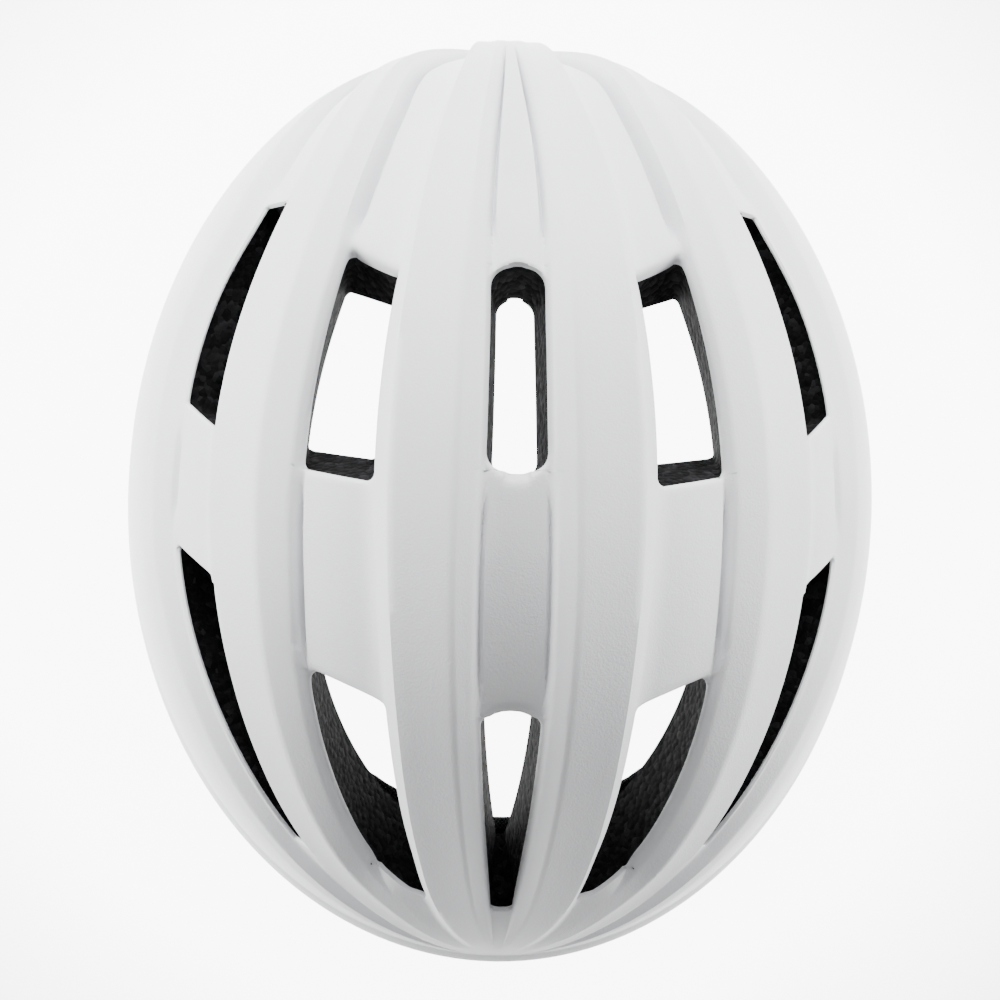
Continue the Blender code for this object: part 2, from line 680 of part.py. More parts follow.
def build_height_strip():
    """Strip that rises from the cradle round the temple line, and its socket plate on the liner."""
    reach = STRIP_REACH - STRIP_WALL / 2
    low = -math.degrees(RING_FALL) + math.degrees(math.atan2(CRADLE_HALF_HEIGHT + GAP, reach - STRIP_WALL))
    sections = []
    for angle in spread(low, STRIP_TOP_ANGLE, 8):
        way = Vector((0, math.cos(math.radians(angle)), math.sin(math.radians(angle))))
        corners = ((-1, -1), (1, -1), (1, 1), (-1, 1))
        sections.append([PIN_LINE + way * (reach + out * STRIP_WALL / 2) + X_DIR * across * STRIP_WIDTH / 2
                         for across, out in corners])
    loft("height_strip", sections, black_plastic(), Matrix.Translation(PIN_LINE))
    across = (-SOCKET_HALF_ANGLE, SOCKET_HALF_ANGLE)
    lining_piece("height_socket_plate", axis_place, SOCKET_SPAN, across, LINING_GAP, SOCKET_WALL,
                 grey_plastic(), 0.0, (3, 4))


def curve_point(points, t):
    """Point and direction of a cubic curve through its four control points."""
    a, b, c, d = points
    u = 1 - t
    point = a * u ** 3 + b * (3 * u * u * t) + c * (3 * u * t * t) + d * t ** 3
    way = (b - a) * (u * u) + (c - b) * (2 * u * t) + (d - c) * (t * t)
    return point, way.normalized()


def strap_frame(points, faces, t):
    """Point, direction, width direction and face direction of a strap."""
    point, way = curve_point(points, t)
    face = faces[0].lerp(faces[1], t)
    across = way.cross(face).normalized()
    return point, way, across, across.cross(way)


def strap(name, points, faces, count=10):
    """Flat webbing along a cubic curve, its face turning from the first direction to the second."""
    sections = []
    for t in spread(0, 1, count):
        point, _, across, face = strap_frame(points, faces, t)
        corners = ((-1, -1), (1, -1), (1, 1), (-1, 1))
        sections.append([point + across * (a * WEB_WIDTH / 2) + face * (f * WEB_WALL / 2)
                         for a, f in corners])
    return loft(name, sections, webbing())


def block(name, centre, directions, sizes, finish):
    """Box at a centre, along three directions."""
    first, second, third = (way * size / 2 for way, size in zip(directions, sizes))
    corners = (-first - second, first - second, first + second, -first + second)
    return loft(name, [[centre + end + corner for corner in corners] for end in (-third, third)], finish)


def build_anchor(name, plan_y, sign):
    """Strap anchor under the liner's bottom edge; returns where its strap starts and its face."""
    theta = theta_at(plan_y, math.radians(RIM_ANGLE))
    outward = rim_frame(theta, sign)[1]
    middle = (rim_roll(theta, sign, SHELL_WALL)[2] + foot_point(theta, sign)) / 2
    lift = GAP + 0.1 * MM
    centre = middle - UP_DIR * (lift + ANCHOR_SIZE[2] / 2)
    along = UP_DIR.cross(outward)
    soften(block(name, centre, (along, outward, UP_DIR), ANCHOR_SIZE, grey_plastic()), 1 * MM)
    return middle - UP_DIR * (lift + ANCHOR_SIZE[2] + GAP), outward


def build_side_straps(side, sign):
    """Anchors, front and rear straps, divider with its lever, and the start of the chin strap."""
    front_start, front_face = build_anchor(f"front_anchor_{side}", FRONT_ANCHOR_Y, sign)
    rear_start, rear_face = build_anchor(f"rear_anchor_{side}", REAR_ANCHOR_Y, sign)
    place = Vector((sign * DIVIDER_PLACE.x, DIVIDER_PLACE.y, DIVIDER_PLACE.z))
    face = Vector((sign, 0, -DIVIDER_LEAN)).normalized()
    ahead = Vector((0, -1, 0))
    up = Vector((sign * DIVIDER_LEAN, 0, 1)).normalized()

    def flat(along, rise):
        return place + ahead * along + up * rise

    ends = []
    apex = Vector((0, DIVIDER_APEX))
    for start, turn in ((front_start, 1), (rear_start, -1)):
        way = Vector(((start - place).dot(ahead), (start - place).dot(up))).normalized()
        edge = Vector((way.y, -way.x)) * turn
        ends.append((way, apex + edge * DIVIDER_EDGE, apex + edge * (DIVIDER_EDGE / 2 + 0.5 * MM)))
    half_foot = DIVIDER_EDGE / 2
    foot = [Vector((half_foot * turn, DIVIDER_FOOT)) for turn in (1, -1)]
    corners = (apex, ends[0][1], *foot, ends[1][1])
    sections = [[flat(*corner) + face * (turn * DIVIDER_WALL / 2) for corner in corners]
                for turn in (-1, 1)]
    soften(loft(f"strap_divider_{side}", sections, black_plastic()), 0.8 * MM)
    for name, start, start_face, (way, _, middle) in (
            ("front", front_start, front_face, ends[0]), ("rear", rear_start, rear_face, ends[1])):
        finish_way = ahead * way.x + up * way.y
        end = flat(*middle) + finish_way * GAP
        points = (start, start - UP_DIR * 14 * MM, end + finish_way * 22 * MM, end)
        strap(f"{name}_strap_{side}", points, (start_face, face))
    hinge = flat(0, 3 * MM) + face * (DIVIDER_WALL / 2 + GAP + LEVER_WALL / 2)
    centre = hinge - up * LEVER_LENGTH / 2
    sizes = (LEVER_WIDTH, LEVER_WALL, LEVER_LENGTH)
    lever = block(f"divider_lever_{side}", centre, (ahead, face, up), sizes, grey_plastic())
    soften(lever, 0.6 * MM)
    return flat(0, DIVIDER_FOOT), up, face


def build_straps():
    """Both sides' straps, the chin straps with a keeper, and the buckle's socket and plug."""
    down = Vector((0, 0, -1))
    for side, sign in SIDES:
        foot, up, face = build_side_straps(side, sign)
        reach = BUCKLE_LENGTH if sign > 0 else PLUG_LENGTH + GAP
        end = BUCKLE_PLACE + X_DIR * sign * (reach + GAP)
        start = foot - up * GAP
        points = (start, start - up * 26 * MM, end + X_DIR * sign * 26 * MM, end)
        strap(f"chin_strap_{side}", points, (face, down), 14)
        if sign > 0:
            build_keeper(points, (face, down))
    build_buckle()


def build_keeper(points, faces):
    """Elastic ring that holds the chin strap's loose end against the strap."""
    point, way, across, face = strap_frame(points, faces, 0.4)
    sizes = (WEB_WIDTH + 4 * MM, WEB_WALL + 4 * MM, 6 * MM)
    ring = block("strap_keeper", point, (across, face, way), sizes, webbing())
    sizes = (WEB_WIDTH + 1 * MM, WEB_WALL + 1 * MM, 12 * MM)
    cut(ring, block("keeper_opening", point, (across, face, way), sizes, webbing()))


def build_buckle():
    """Side-release buckle: a socket with side windows, and a plug with three prongs."""
    frame = (X_DIR, Vector((0, 1, 0)), Vector((0, 0, 1)))
    half = BUCKLE_WIDTH / 2
    middle = BUCKLE_PLACE + X_DIR * BUCKLE_LENGTH / 2
    sizes = (BUCKLE_LENGTH, BUCKLE_WIDTH, BUCKLE_WALL)
    socket = block("buckle_socket", middle, frame, sizes, black_plastic())
    soften(socket, 1.2 * MM)
    depth = PRONG_LENGTH + 1.5 * MM
    opening = (2 * depth, BUCKLE_WIDTH - 5 * MM, PRONG_WALL + 1 * MM)
    cut(socket, block("socket_opening", BUCKLE_PLACE, frame, opening, black_plastic()))
    window = (8 * MM, BUCKLE_WIDTH + 4 * MM, PRONG_WALL)
    cut(socket, block("socket_windows", BUCKLE_PLACE + X_DIR * 12 * MM, frame, window, black_plastic()))
    start = BUCKLE_PLACE - X_DIR * GAP
    middle = start - X_DIR * PLUG_LENGTH / 2
    plug = block("buckle_plug", middle, frame, (PLUG_LENGTH, BUCKLE_WIDTH, BUCKLE_WALL), black_plastic())
    soften(plug, 1.2 * MM)
    reach = half - 3 * MM
    for index, (low, high, length) in enumerate(((-reach, 3 * MM - reach, 0), (-2 * MM, 2 * MM, 2 * MM),
                                                 (reach - 3 * MM, reach, 0))):
        size = PRONG_LENGTH - length + 2 * MM
        centre = start + X_DIR * (size / 2 - 2 * MM) + Vector((0, (low + high) / 2, 0))
        prong = block(f"prong_{index}", centre, frame, (size, high - low, PRONG_WALL), black_plastic())
        prong.hide_render = True
        prong.display_type = "WIRE"
        join = plug.modifiers.new("prong", "BOOLEAN")
        join.operation = "UNION"
        join.object = prong


def main():
    """Clear the scene and build the helmet."""
    for item in list(bpy.data.objects):
        bpy.data.objects.remove(item)
    build_shell()
    build_liner()
    build_pads()
    build_fit_ring()
    build_straps()


main()
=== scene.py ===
"""Looks of a road cycling helmet: ribbed shell, bead foam, pads, fit ring and straps.

Metres, +Z up, front towards -Y, wearer's left towards +X. The dome's sizes repeat those of the construction.
"""

import logging
import math
from dataclasses import dataclass
from enum import Enum
from functools import partial
from typing import Any, Callable, Sequence

import bpy
import numpy as np
from mathutils import Matrix, Vector
from mathutils.kdtree import KDTree


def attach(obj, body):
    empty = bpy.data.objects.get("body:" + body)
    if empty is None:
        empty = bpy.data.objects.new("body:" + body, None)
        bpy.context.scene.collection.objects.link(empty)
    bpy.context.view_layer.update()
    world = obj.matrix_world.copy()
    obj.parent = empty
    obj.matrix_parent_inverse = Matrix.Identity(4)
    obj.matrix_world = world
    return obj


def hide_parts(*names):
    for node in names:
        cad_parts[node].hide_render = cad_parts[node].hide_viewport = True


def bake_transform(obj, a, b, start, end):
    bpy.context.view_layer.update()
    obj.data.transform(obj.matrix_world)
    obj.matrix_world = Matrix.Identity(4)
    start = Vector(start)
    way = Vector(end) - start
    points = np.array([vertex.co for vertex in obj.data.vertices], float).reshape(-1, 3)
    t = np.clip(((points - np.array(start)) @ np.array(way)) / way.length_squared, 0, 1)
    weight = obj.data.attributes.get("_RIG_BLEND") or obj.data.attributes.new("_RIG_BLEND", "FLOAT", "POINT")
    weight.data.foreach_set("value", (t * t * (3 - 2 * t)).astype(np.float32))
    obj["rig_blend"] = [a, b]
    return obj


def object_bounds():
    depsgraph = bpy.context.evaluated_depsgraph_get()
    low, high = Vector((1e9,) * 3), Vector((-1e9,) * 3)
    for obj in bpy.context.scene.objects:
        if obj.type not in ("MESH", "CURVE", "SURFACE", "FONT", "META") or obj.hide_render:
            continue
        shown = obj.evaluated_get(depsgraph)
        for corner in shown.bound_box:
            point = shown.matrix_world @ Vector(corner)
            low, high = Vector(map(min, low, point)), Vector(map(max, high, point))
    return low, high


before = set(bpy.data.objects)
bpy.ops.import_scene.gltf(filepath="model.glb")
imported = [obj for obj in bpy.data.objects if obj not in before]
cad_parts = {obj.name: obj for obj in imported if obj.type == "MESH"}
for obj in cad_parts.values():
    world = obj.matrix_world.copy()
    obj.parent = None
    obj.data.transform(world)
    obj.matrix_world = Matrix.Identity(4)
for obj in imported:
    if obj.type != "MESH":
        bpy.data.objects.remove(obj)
CAD_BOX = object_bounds()
LOG = logging.getLogger("helmet")
MM = 0.001
SIDES: tuple[tuple[str, int], ...] = (("left", 1), ("right", -1))
CREASE_ANGLE = math.radians(38)
RIM_SHARE = 0.97
Point = np.ndarray
Colour = tuple[float, float, float]


class Bump(Enum):
    """How strongly a finish's relief shows, as the Bump node's distance in metres."""

    GRAIN = 0.00008
    BEAD = 0.00035
    KNIT = 0.0004
    WEAVE = 0.0005


class Value:
    """A shader socket that takes part in Python expressions."""

    def __init__(self, shader: "Shader", socket: Any) -> None:
        """Wrap a socket of a shader's node."""
        self.shader = shader
        self.socket = socket

    def _math(self, operation: str, first: Any, second: Any) -> "Value":
        """Add one Math node."""
        return self.shader.node("ShaderNodeMath", {"operation": operation}, {0: first, 1: second})

    def __add__(self, other: Any) -> "Value":
        """Sum."""
        return self._math("ADD", self, other)

    __radd__ = __add__

    def __sub__(self, other: Any) -> "Value":
        """Difference."""
        return self._math("SUBTRACT", self, other)

    def __rsub__(self, other: Any) -> "Value":
        """Reflected difference."""
        return self._math("SUBTRACT", other, self)

    def __mul__(self, other: Any) -> "Value":
        """Product."""
        return self._math("MULTIPLY", self, other)

    __rmul__ = __mul__

    def __pow__(self, other: Any) -> "Value":
        """Power."""
        return self._math("POWER", self, other)

    def __gt__(self, other: Any) -> "Value":
        """1 where greater."""
        return self._math("GREATER_THAN", self, other)

    def sine(self) -> "Value":
        """Sine of an angle in radians."""
        return self._math("SINE", self, 0.0)

    def absolute(self) -> "Value":
        """Distance from zero."""
        return self._math("ABSOLUTE", self, 0.0)


class Shader:
    """One material's node tree round its Principled shader."""

    def __init__(self, name: str) -> None:
        """Make an empty material of that name."""
        self.material = bpy.data.materials.new(name)
        self.material.use_nodes = True
        self.tree = self.material.node_tree
        self.principled = self.tree.nodes["Principled BSDF"]

    def node(self, kind: str, settings: dict[str, Any], inputs: dict[Any, Any], output: Any = 0) -> Value:
        """Add any node.

        Args:
            kind: the node's type.
            settings: attributes that are set first; "stops" fills a colour ramp.
            inputs: socket name or number to a value or a link.
            output: the output socket to wrap.

        Returns:
            The chosen output as a Value.
        """
        made = self.tree.nodes.new(kind)
        for key, setting in settings.items():
            if key == "stops":
                ramp = made.color_ramp
                while len(ramp.elements) < len(setting):
                    ramp.elements.new(0.5)
                for element, (position, colour) in zip(ramp.elements, setting):
                    element.position = position
                    element.color = (*colour, 1.0)
            else:
                setattr(made, key, setting)
        for key, source in inputs.items():
            self.feed(made.inputs[key], source)
        return Value(self, made.outputs[output])

    def feed(self, socket: Any, source: Any) -> None:
        """Link a Value to a socket, or set a plain number or colour on it.

        Args:
            socket: the input socket.
            source: a Value, a number or a colour.
        """
        if isinstance(source, Value):
            self.tree.links.new(source.socket, socket)
        else:
            socket.default_value = source

    def set(self, **values: Any) -> None:
        """Set or link sockets of the Principled shader; underscores stand for spaces."""
        for key, source in values.items():
            self.feed(self.principled.inputs[key.replace("_", " ")], source)

    def place(self) -> Value:
        """Object coordinates."""
        return self.node("ShaderNodeTexCoord", {}, {}, "Object")

    def uv(self, axis: str) -> Value:
        """One axis of the piece's own UV map."""
        source = self.node("ShaderNodeTexCoord", {}, {}, "UV")
        return self.node("ShaderNodeSeparateXYZ", {}, {0: source}, axis)

    def noise(self, scale: float, detail: float = 3.0) -> Value:
        """Noise over the object, from 0 to 1."""
        inputs = {"Vector": self.place(), "Scale": scale, "Detail": detail}
        return self.node("ShaderNodeTexNoise", {}, inputs, "Fac")

    def cells(self, scale: float, output: str, feature: str = "F1") -> Value:
        """Voronoi cells over the object."""
        inputs = {"Vector": self.place(), "Scale": scale}
        return self.node("ShaderNodeTexVoronoi", {"feature": feature}, inputs, output)

    def ramp(self, source: Value, *stops: tuple[float, Colour]) -> Value:
        """Colour ramp over a value."""
        return self.node("ShaderNodeValToRGB", {"stops": stops}, {"Fac": source}, "Color")

    def bump(self, height: Value, depth: Bump, strength: float = 1.0) -> None:
        """Feed a height into the shader's normal."""
        inputs = {"Height": height, "Distance": depth.value, "Strength": strength}
        self.set(Normal=self.node("ShaderNodeBump", {}, inputs))


@dataclass(frozen=True)
class ShellFinish:
    """Matte cool white skin with a faint orange-peel grain."""

    low: Colour = (0.755, 0.765, 0.785)
    high: Colour = (0.80, 0.808, 0.825)
    roughness: float = 0.42
    cloud_scale: float = 26.0
    peel_scale: float = 420.0
    grain_scale: float = 1500.0

    def material(self) -> bpy.types.Material:
        """Make the skin's material.

        Returns:
            The material.
        """
        shader = Shader("shell_white")
        cloud = shader.noise(self.cloud_scale, 2.0)
        grain = shader.noise(self.grain_scale, 2.0)
        shader.set(Base_Color=shader.ramp(cloud, (0.3, self.low), (0.7, self.high)))
        shader.set(Roughness=self.roughness + 0.10 * grain, IOR=1.46)
        shader.bump(grain + 0.6 * shader.noise(self.peel_scale), Bump.GRAIN)
        return shader.material


@dataclass(frozen=True)
class FoamFinish:
    """Black bead foam: domed beads, dark seams and a scatter of paler beads."""

    bead: float = 1.9 * MM
    dark: Colour = (0.0022, 0.0022, 0.0025)
    pale: Colour = (0.024, 0.024, 0.026)
    seam_width: float = 0.06
    fleck_scale: float = 900.0

    def material(self) -> bpy.types.Material:
        """Make the foam's material.

        Returns:
            The material.
        """
        shader = Shader("bead_foam")
        scale = 1.0 / self.bead
        seam = shader.cells(scale, "Distance", "DISTANCE_TO_EDGE")
        dome = shader.cells(scale, "Distance")
        tone = shader.node("ShaderNodeSeparateColor", {}, {0: shader.cells(scale, "Color")}, "Red")
        fleck = shader.noise(self.fleck_scale, 2.0)
        mixed = (tone ** 3.0) * 0.75 + (fleck ** 4.0) * 0.7
        shader.set(Base_Color=shader.ramp(mixed, (0.0, self.dark), (0.9, self.pale)))
        shader.set(Roughness=0.75 + 0.2 * fleck, Specular_IOR_Level=0.12)
        shader.bump(1.0 - dome * 1.1 + (seam > self.seam_width) * 0.25, Bump.BEAD)
        return shader.material


@dataclass(frozen=True)
class KnitFinish:
    """Black knitted pad cover with fine loops."""

    pitch: float = 1.1 * MM
    low: Colour = (0.005, 0.005, 0.0055)
    high: Colour = (0.020, 0.020, 0.022)
    fuzz_scale: float = 1400.0

    def material(self) -> bpy.types.Material:
        """Make the pad cover's material.

        Returns:
            The material.
        """
        shader = Shader("pad_fabric")
        across = shader.node("ShaderNodeSeparateXYZ", {}, {0: shader.place()}, "X")
        along = Value(shader, across.socket.node.outputs["Y"])
        turn = 2.0 * math.pi / self.pitch
        loops = (across * turn).sine() * (along * turn).sine()
        fuzz = shader.noise(self.fuzz_scale, 2.0)
        shade = 0.5 + loops * 0.3 + fuzz * 0.2
        shader.set(Base_Color=shader.ramp(shade, (0.2, self.low), (0.9, self.high)))
        shader.set(Roughness=0.82 + 0.15 * fuzz, Specular_IOR_Level=0.06)
        shader.bump(loops + 0.5 * fuzz, Bump.KNIT)
        return shader.material


@dataclass(frozen=True)
class WebFinish:
    """Black strap webbing: ribs along the strap, picks across it and bound edges."""

    ribs: float = 9.0
    picks: float = 950.0
    edge_start: float = 0.44
    low: Colour = (0.003, 0.003, 0.0035)
    high: Colour = (0.018, 0.018, 0.020)

    def material(self) -> bpy.types.Material:
        """Make the webbing's material; U runs across the strap from 0 to 1, V along it in metres.

        Returns:
            The material.
        """
        shader = Shader("webbing")
        across = shader.uv("X")
        along = shader.uv("Y")
        ribs = (across * (2.0 * math.pi * self.ribs)).sine()
        picks = (along * (2.0 * math.pi * self.picks) + ribs * 1.6).sine()
        edge = (across - 0.5).absolute() > self.edge_start
        weave = 0.5 + 0.25 * ribs + 0.25 * picks
        shade = weave * (1.0 - edge * 0.5) + edge * 0.15
        shader.set(Base_Color=shader.ramp(shade, (0.1, self.low), (1.0, self.high)))
        shader.set(Roughness=0.75 + 0.2 * weave, Specular_IOR_Level=0.06)
        shader.bump(weave + edge * 0.4, Bump.WEAVE, 0.8)
        return shader.material


@dataclass(frozen=True)
class PlasticFinish:
    """Moulded plastic with a spark-eroded grain and faint rubbing marks."""

    name: str
    low: Colour
    high: Colour
    roughness: float
    specular: float = 0.15
    cloud_scale: float = 60.0
    grain_scale: float = 2600.0

    def material(self) -> bpy.types.Material:
        """Make the plastic's material.

        Returns:
            The material.
        """
        shader = Shader(self.name)
        cloud = shader.noise(self.cloud_scale, 4.0)
        grain = shader.noise(self.grain_scale, 2.0)
        rough = self.roughness + 0.12 * cloud + 0.06 * grain
        shader.set(Base_Color=shader.ramp(cloud, (0.3, self.low), (0.75, self.high)))
        shader.set(Roughness=rough, Specular_IOR_Level=self.specular)
        shader.bump(grain, Bump.GRAIN)
        return shader.material


@dataclass(frozen=True)
class HookFinish:
    """Hook tape: rows of tiny stiff hooks on a black ground."""

    pitch: float = 1.3 * MM
    hook: Colour = (0.07, 0.07, 0.075)
    ground: Colour = (0.01, 0.01, 0.011)

    def material(self) -> bpy.types.Material:
        """Make the hook tape's material.

        Returns:
            The material.
        """
        shader = Shader("hook_tape")
        hooks = shader.cells(1.0 / self.pitch, "Distance")
        shader.set(Base_Color=shader.ramp(hooks, (0.0, self.hook), (0.6, self.ground)))
        shader.set(Roughness=0.7 + 0.2 * hooks)
        shader.bump(1.0 - hooks, Bump.KNIT)
        return shader.material


def smooth_step(low: float, high: float, value: Any) -> Any:
    """Rise smoothly from 0 at low to 1 at high, for numbers or arrays."""
    t = np.clip((value - low) / (high - low), 0.0, 1.0)
    return t * t * (3 - 2 * t)


def unit(vectors: Point) -> Point:
    """Vectors at length 1."""
    return vectors / np.maximum(np.linalg.norm(vectors, axis=-1, keepdims=True), 1e-12)


def active_only(piece: bpy.types.Object) -> None:
    """Make a piece the only selected and active object."""
    bpy.ops.object.select_all(action="DESELECT")
    piece.select_set(True)
    bpy.context.view_layer.objects.active = piece


def apply_modifiers(piece: bpy.types.Object) -> None:
    """Apply every modifier of a piece in order."""
    active_only(piece)
    for name in [modifier.name for modifier in piece.modifiers]:
        bpy.ops.object.modifier_apply(modifier=name)


def mesh_piece(name: str, points: Point, faces: list[tuple[int, ...]]) -> bpy.types.Object:
    """Make an object of points and faces with its normals turned outwards and smooth shading.

    Args:
        name: the piece's name.
        points: its vertices, in metres.
        faces: vertex numbers of each face.

    Returns:
        The linked object.
    """
    data = bpy.data.meshes.new(name)
    data.from_pydata(points.tolist(), [], faces)
    piece = bpy.data.objects.new(name, data)
    bpy.context.scene.collection.objects.link(piece)
    active_only(piece)
    bpy.ops.object.mode_set(mode="EDIT")
    bpy.ops.mesh.select_all(action="SELECT")
    bpy.ops.mesh.normals_make_consistent(inside=False)
    bpy.ops.object.mode_set(mode="OBJECT")
    bpy.ops.object.shade_smooth_by_angle(angle=CREASE_ANGLE)
    return piece


def dress(piece: bpy.types.Object, material: bpy.types.Material, body: str, slot: str, *nodes: str) -> None:
    """Give a piece its material and body, and hide the constructed pieces that it replaces.

    Args:
        piece: the new piece.
        material: its only material.
        body: the body it rides, unless it is blended between two.
        slot: not used.
        nodes: the constructed pieces that it replaces.
    """
    piece.data.materials.clear()
    piece.data.materials.append(material)
    if "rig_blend" not in piece:
        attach(piece, body)
    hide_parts(*nodes)
    LOG.info("%s on %s", piece.name, body)


@dataclass(frozen=True)
class Crease:
    """A narrow cut along a rib line: half its width, its depth, and its stretch of the dome in degrees."""

    name: float
    half: float
    depth: float
    start: float
    stop: float


@dataclass
class Dome:
    """The helmet's form: an ellipsoid on a falling axis, ribbed, with vents and a rolled rim.

    The profile gives depths in millimetres below the rib tops at rib lines from the crown to the rim.
    """

    half_width: float = 109 * MM
    half_length: float = 136 * MM
    height: float = 112 * MM
    centre: tuple[float, float, float] = (0.0, 1 * MM, -16 * MM)
    tilt: float = math.radians(13)
    wall_crown: float = 24 * MM
    wall_ends: float = 30 * MM
    profile: tuple[tuple[float, float], ...] = (
        (0, 5.6), (5.3, 5.8), (6.1, 3.2), (9.4, 0), (19.9, 0), (23.0, 4.4), (24.6, 5.4), (34.2, 5.8),
        (35.1, 3.4), (40.3, 0), (50.0, 0), (51.2, 1.6), (59.6, 3.4), (60.6, 3.2), (64.6, 0), (71, -0.3),
        (90, 0))
    flat_tops: tuple[tuple[float, float], ...] = ((9.4, 19.9), (40.3, 50.0))
    front_groove: tuple[tuple[float, float], ...] = ((19.9, 0.0), (23.2, 4.4), (25.0, 5.2), (40.3, 0.0))
    creases: tuple[Crease, ...] = (
        Crease(34.3, 0.6, 2.4 * MM, 60, 83), Crease(34.3, 1.25, 4.4 * MM, 114, 172),
        Crease(5.4, 0.6, 2.2 * MM, 53, 81), Crease(5.4, 0.9, 2.7 * MM, 111, 160),
        Crease(60.0, 1.3, 3.7 * MM, 124, 165), Crease(60.0, 0.8, 1.2 * MM, 80, 95))

    def __post_init__(self) -> None:
        """Work out the axes."""
        self.along = np.array((0.0, math.cos(self.tilt), -math.sin(self.tilt)))
        self.up = np.array((0.0, math.sin(self.tilt), math.cos(self.tilt)))
        self.across = np.array((1.0, 0.0, 0.0))

    def surface(self, theta: Point, phi: Point) -> tuple[Point, Point]:
        """Smooth dome without ribs.

        Args:
            theta: angles along the axis from the front pole, in radians.
            phi: angles round the axis from the crown, in radians.

        Returns:
            The points and the outward normals.
        """
        a = -np.cos(theta)[..., None]
        w = (np.sin(theta) * np.sin(phi))[..., None]
        h = (np.sin(theta) * np.cos(phi))[..., None]
        point = np.array(self.centre) + self.along * self.half_length * a
        point = point + self.across * self.half_width * w + self.up * self.height * h
        normal = self.along * (a / self.half_length) + self.across * (w / self.half_width)
        return point, unit(normal + self.up * (h / self.height))

    def theta_at(self, plan_y: Point, phi: Point) -> Point:
        """Angle along the axis where a rib line passes a plan position."""
        reach = self.half_length * math.cos(self.tilt)
        lift = self.height * np.cos(phi) * math.sin(self.tilt)
        return np.arctan2(reach, lift) + np.arcsin((plan_y - self.centre[1]) / np.hypot(reach, lift))

    def _section(self, names: Point) -> Point:
        """Depth of the plain cross-section, with flat rib tops and softened edges.

        Args:
            names: rib lines.

        Returns:
            Depths below the rib tops in metres.
        """
        knots = np.array(self.profile)
        fine = np.arange(0.0, 90.05, 0.1)
        line = np.interp(fine, knots[:, 0], knots[:, 1] * MM)
        for low, high in self.flat_tops:
            reach = np.clip(1 - ((fine - (low + high) / 2) / ((high - low) / 2)) ** 2, 0, 1)
            line += reach * self.half_width * (1 - math.cos(math.radians((high - low) / 2)))
        line = np.convolve(np.pad(line, 2, mode="edge"), np.ones(5) / 5, mode="valid")
        return np.interp(np.abs(names), fine, line)

    def depth(self, theta: Point, names: Point) -> Point:
        """How far the outside lies below the rib tops: flat tops, chamfers, steps and channel floors.

        Args:
            theta: angles along the axis, in radians.
            names: rib lines at the same places.

        Returns:
            Depths in metres, which fade out towards both ends of the dome.
        """
        degrees = np.degrees(theta)
        beside = np.abs(names)
        depth = self._section(names)
        spots, drops = np.array(self.front_groove).T
        narrow = (1 - smooth_step(23, 31, degrees)) * (np.abs(beside - 30.1) < 10.2)
        depth = depth + (np.interp(beside, spots, drops * MM) - depth) * narrow
        for crease in self.creases:
            span = smooth_step(crease.start, crease.start + 5, degrees)
            span = span * (1 - smooth_step(crease.stop - 5, crease.stop, degrees))
            slope = np.clip(1 - np.abs(beside - crease.name) / crease.half, 0, 1)
            depth = depth + crease.depth * span * slope
        fade = smooth_step(3, 30, degrees) * (1 - smooth_step(168, 180, degrees))
        fade = fade * np.minimum(1.0, 0.45 + 1.6 * np.sin(theta))
        centre = smooth_step(140, 170, degrees) * (1 - smooth_step(8.0, 12.0, beside))
        return depth * fade * (1 - centre)

    def cavity(self, theta: Point, phi: Point) -> Point:
        """Points of the head cavity's wall."""
        return self.surface(theta, phi)[0] - self.way_in(theta, phi) * self.wall(theta)[..., None]

    def way_in(self, theta: Point, phi: Point) -> Point:
        """Direction from the cavity to the outside; steeper than the normal near the crown."""
        normal = self.surface(theta, phi)[1]
        sideways = 0.35 + 0.65 * smooth_step(35, 75, np.abs(np.degrees(phi)))
        return unit(np.stack((normal[..., 0] * sideways, normal[..., 1], normal[..., 2]), -1))

    def wall(self, theta: Point) -> Point:
        """Foam wall, thicker at the front and the rear."""
        return self.wall_crown + (self.wall_ends - self.wall_crown) * np.cos(theta) ** 2

    def rim(self, theta: Point, side: Point, out: float, down: float, inset: float) -> Point:
        """A line of the rolled edge.

        Args:
            theta: angles along the axis, in radians.
            side: 1 on the wearer's left, -1 on the right.
            out: share of the edge's bulge.
            down: share of its drop.
            inset: how far the line lies inside the surface, in metres.

        Returns:
            The line's points.
        """
        point, outward = self.surface(theta, side * math.pi / 2)
        ends = np.cos(theta) ** 2
        front = theta < math.pi / 2
        bulge = (0.4 + np.where(front, 0.8, 0.4) * ends) * MM
        drop = (14.0 - np.where(front, 6.0, 4.0) * ends) * MM
        return point + outward * (bulge * out - inset)[:, None] - self.up * (drop * down)[:, None]


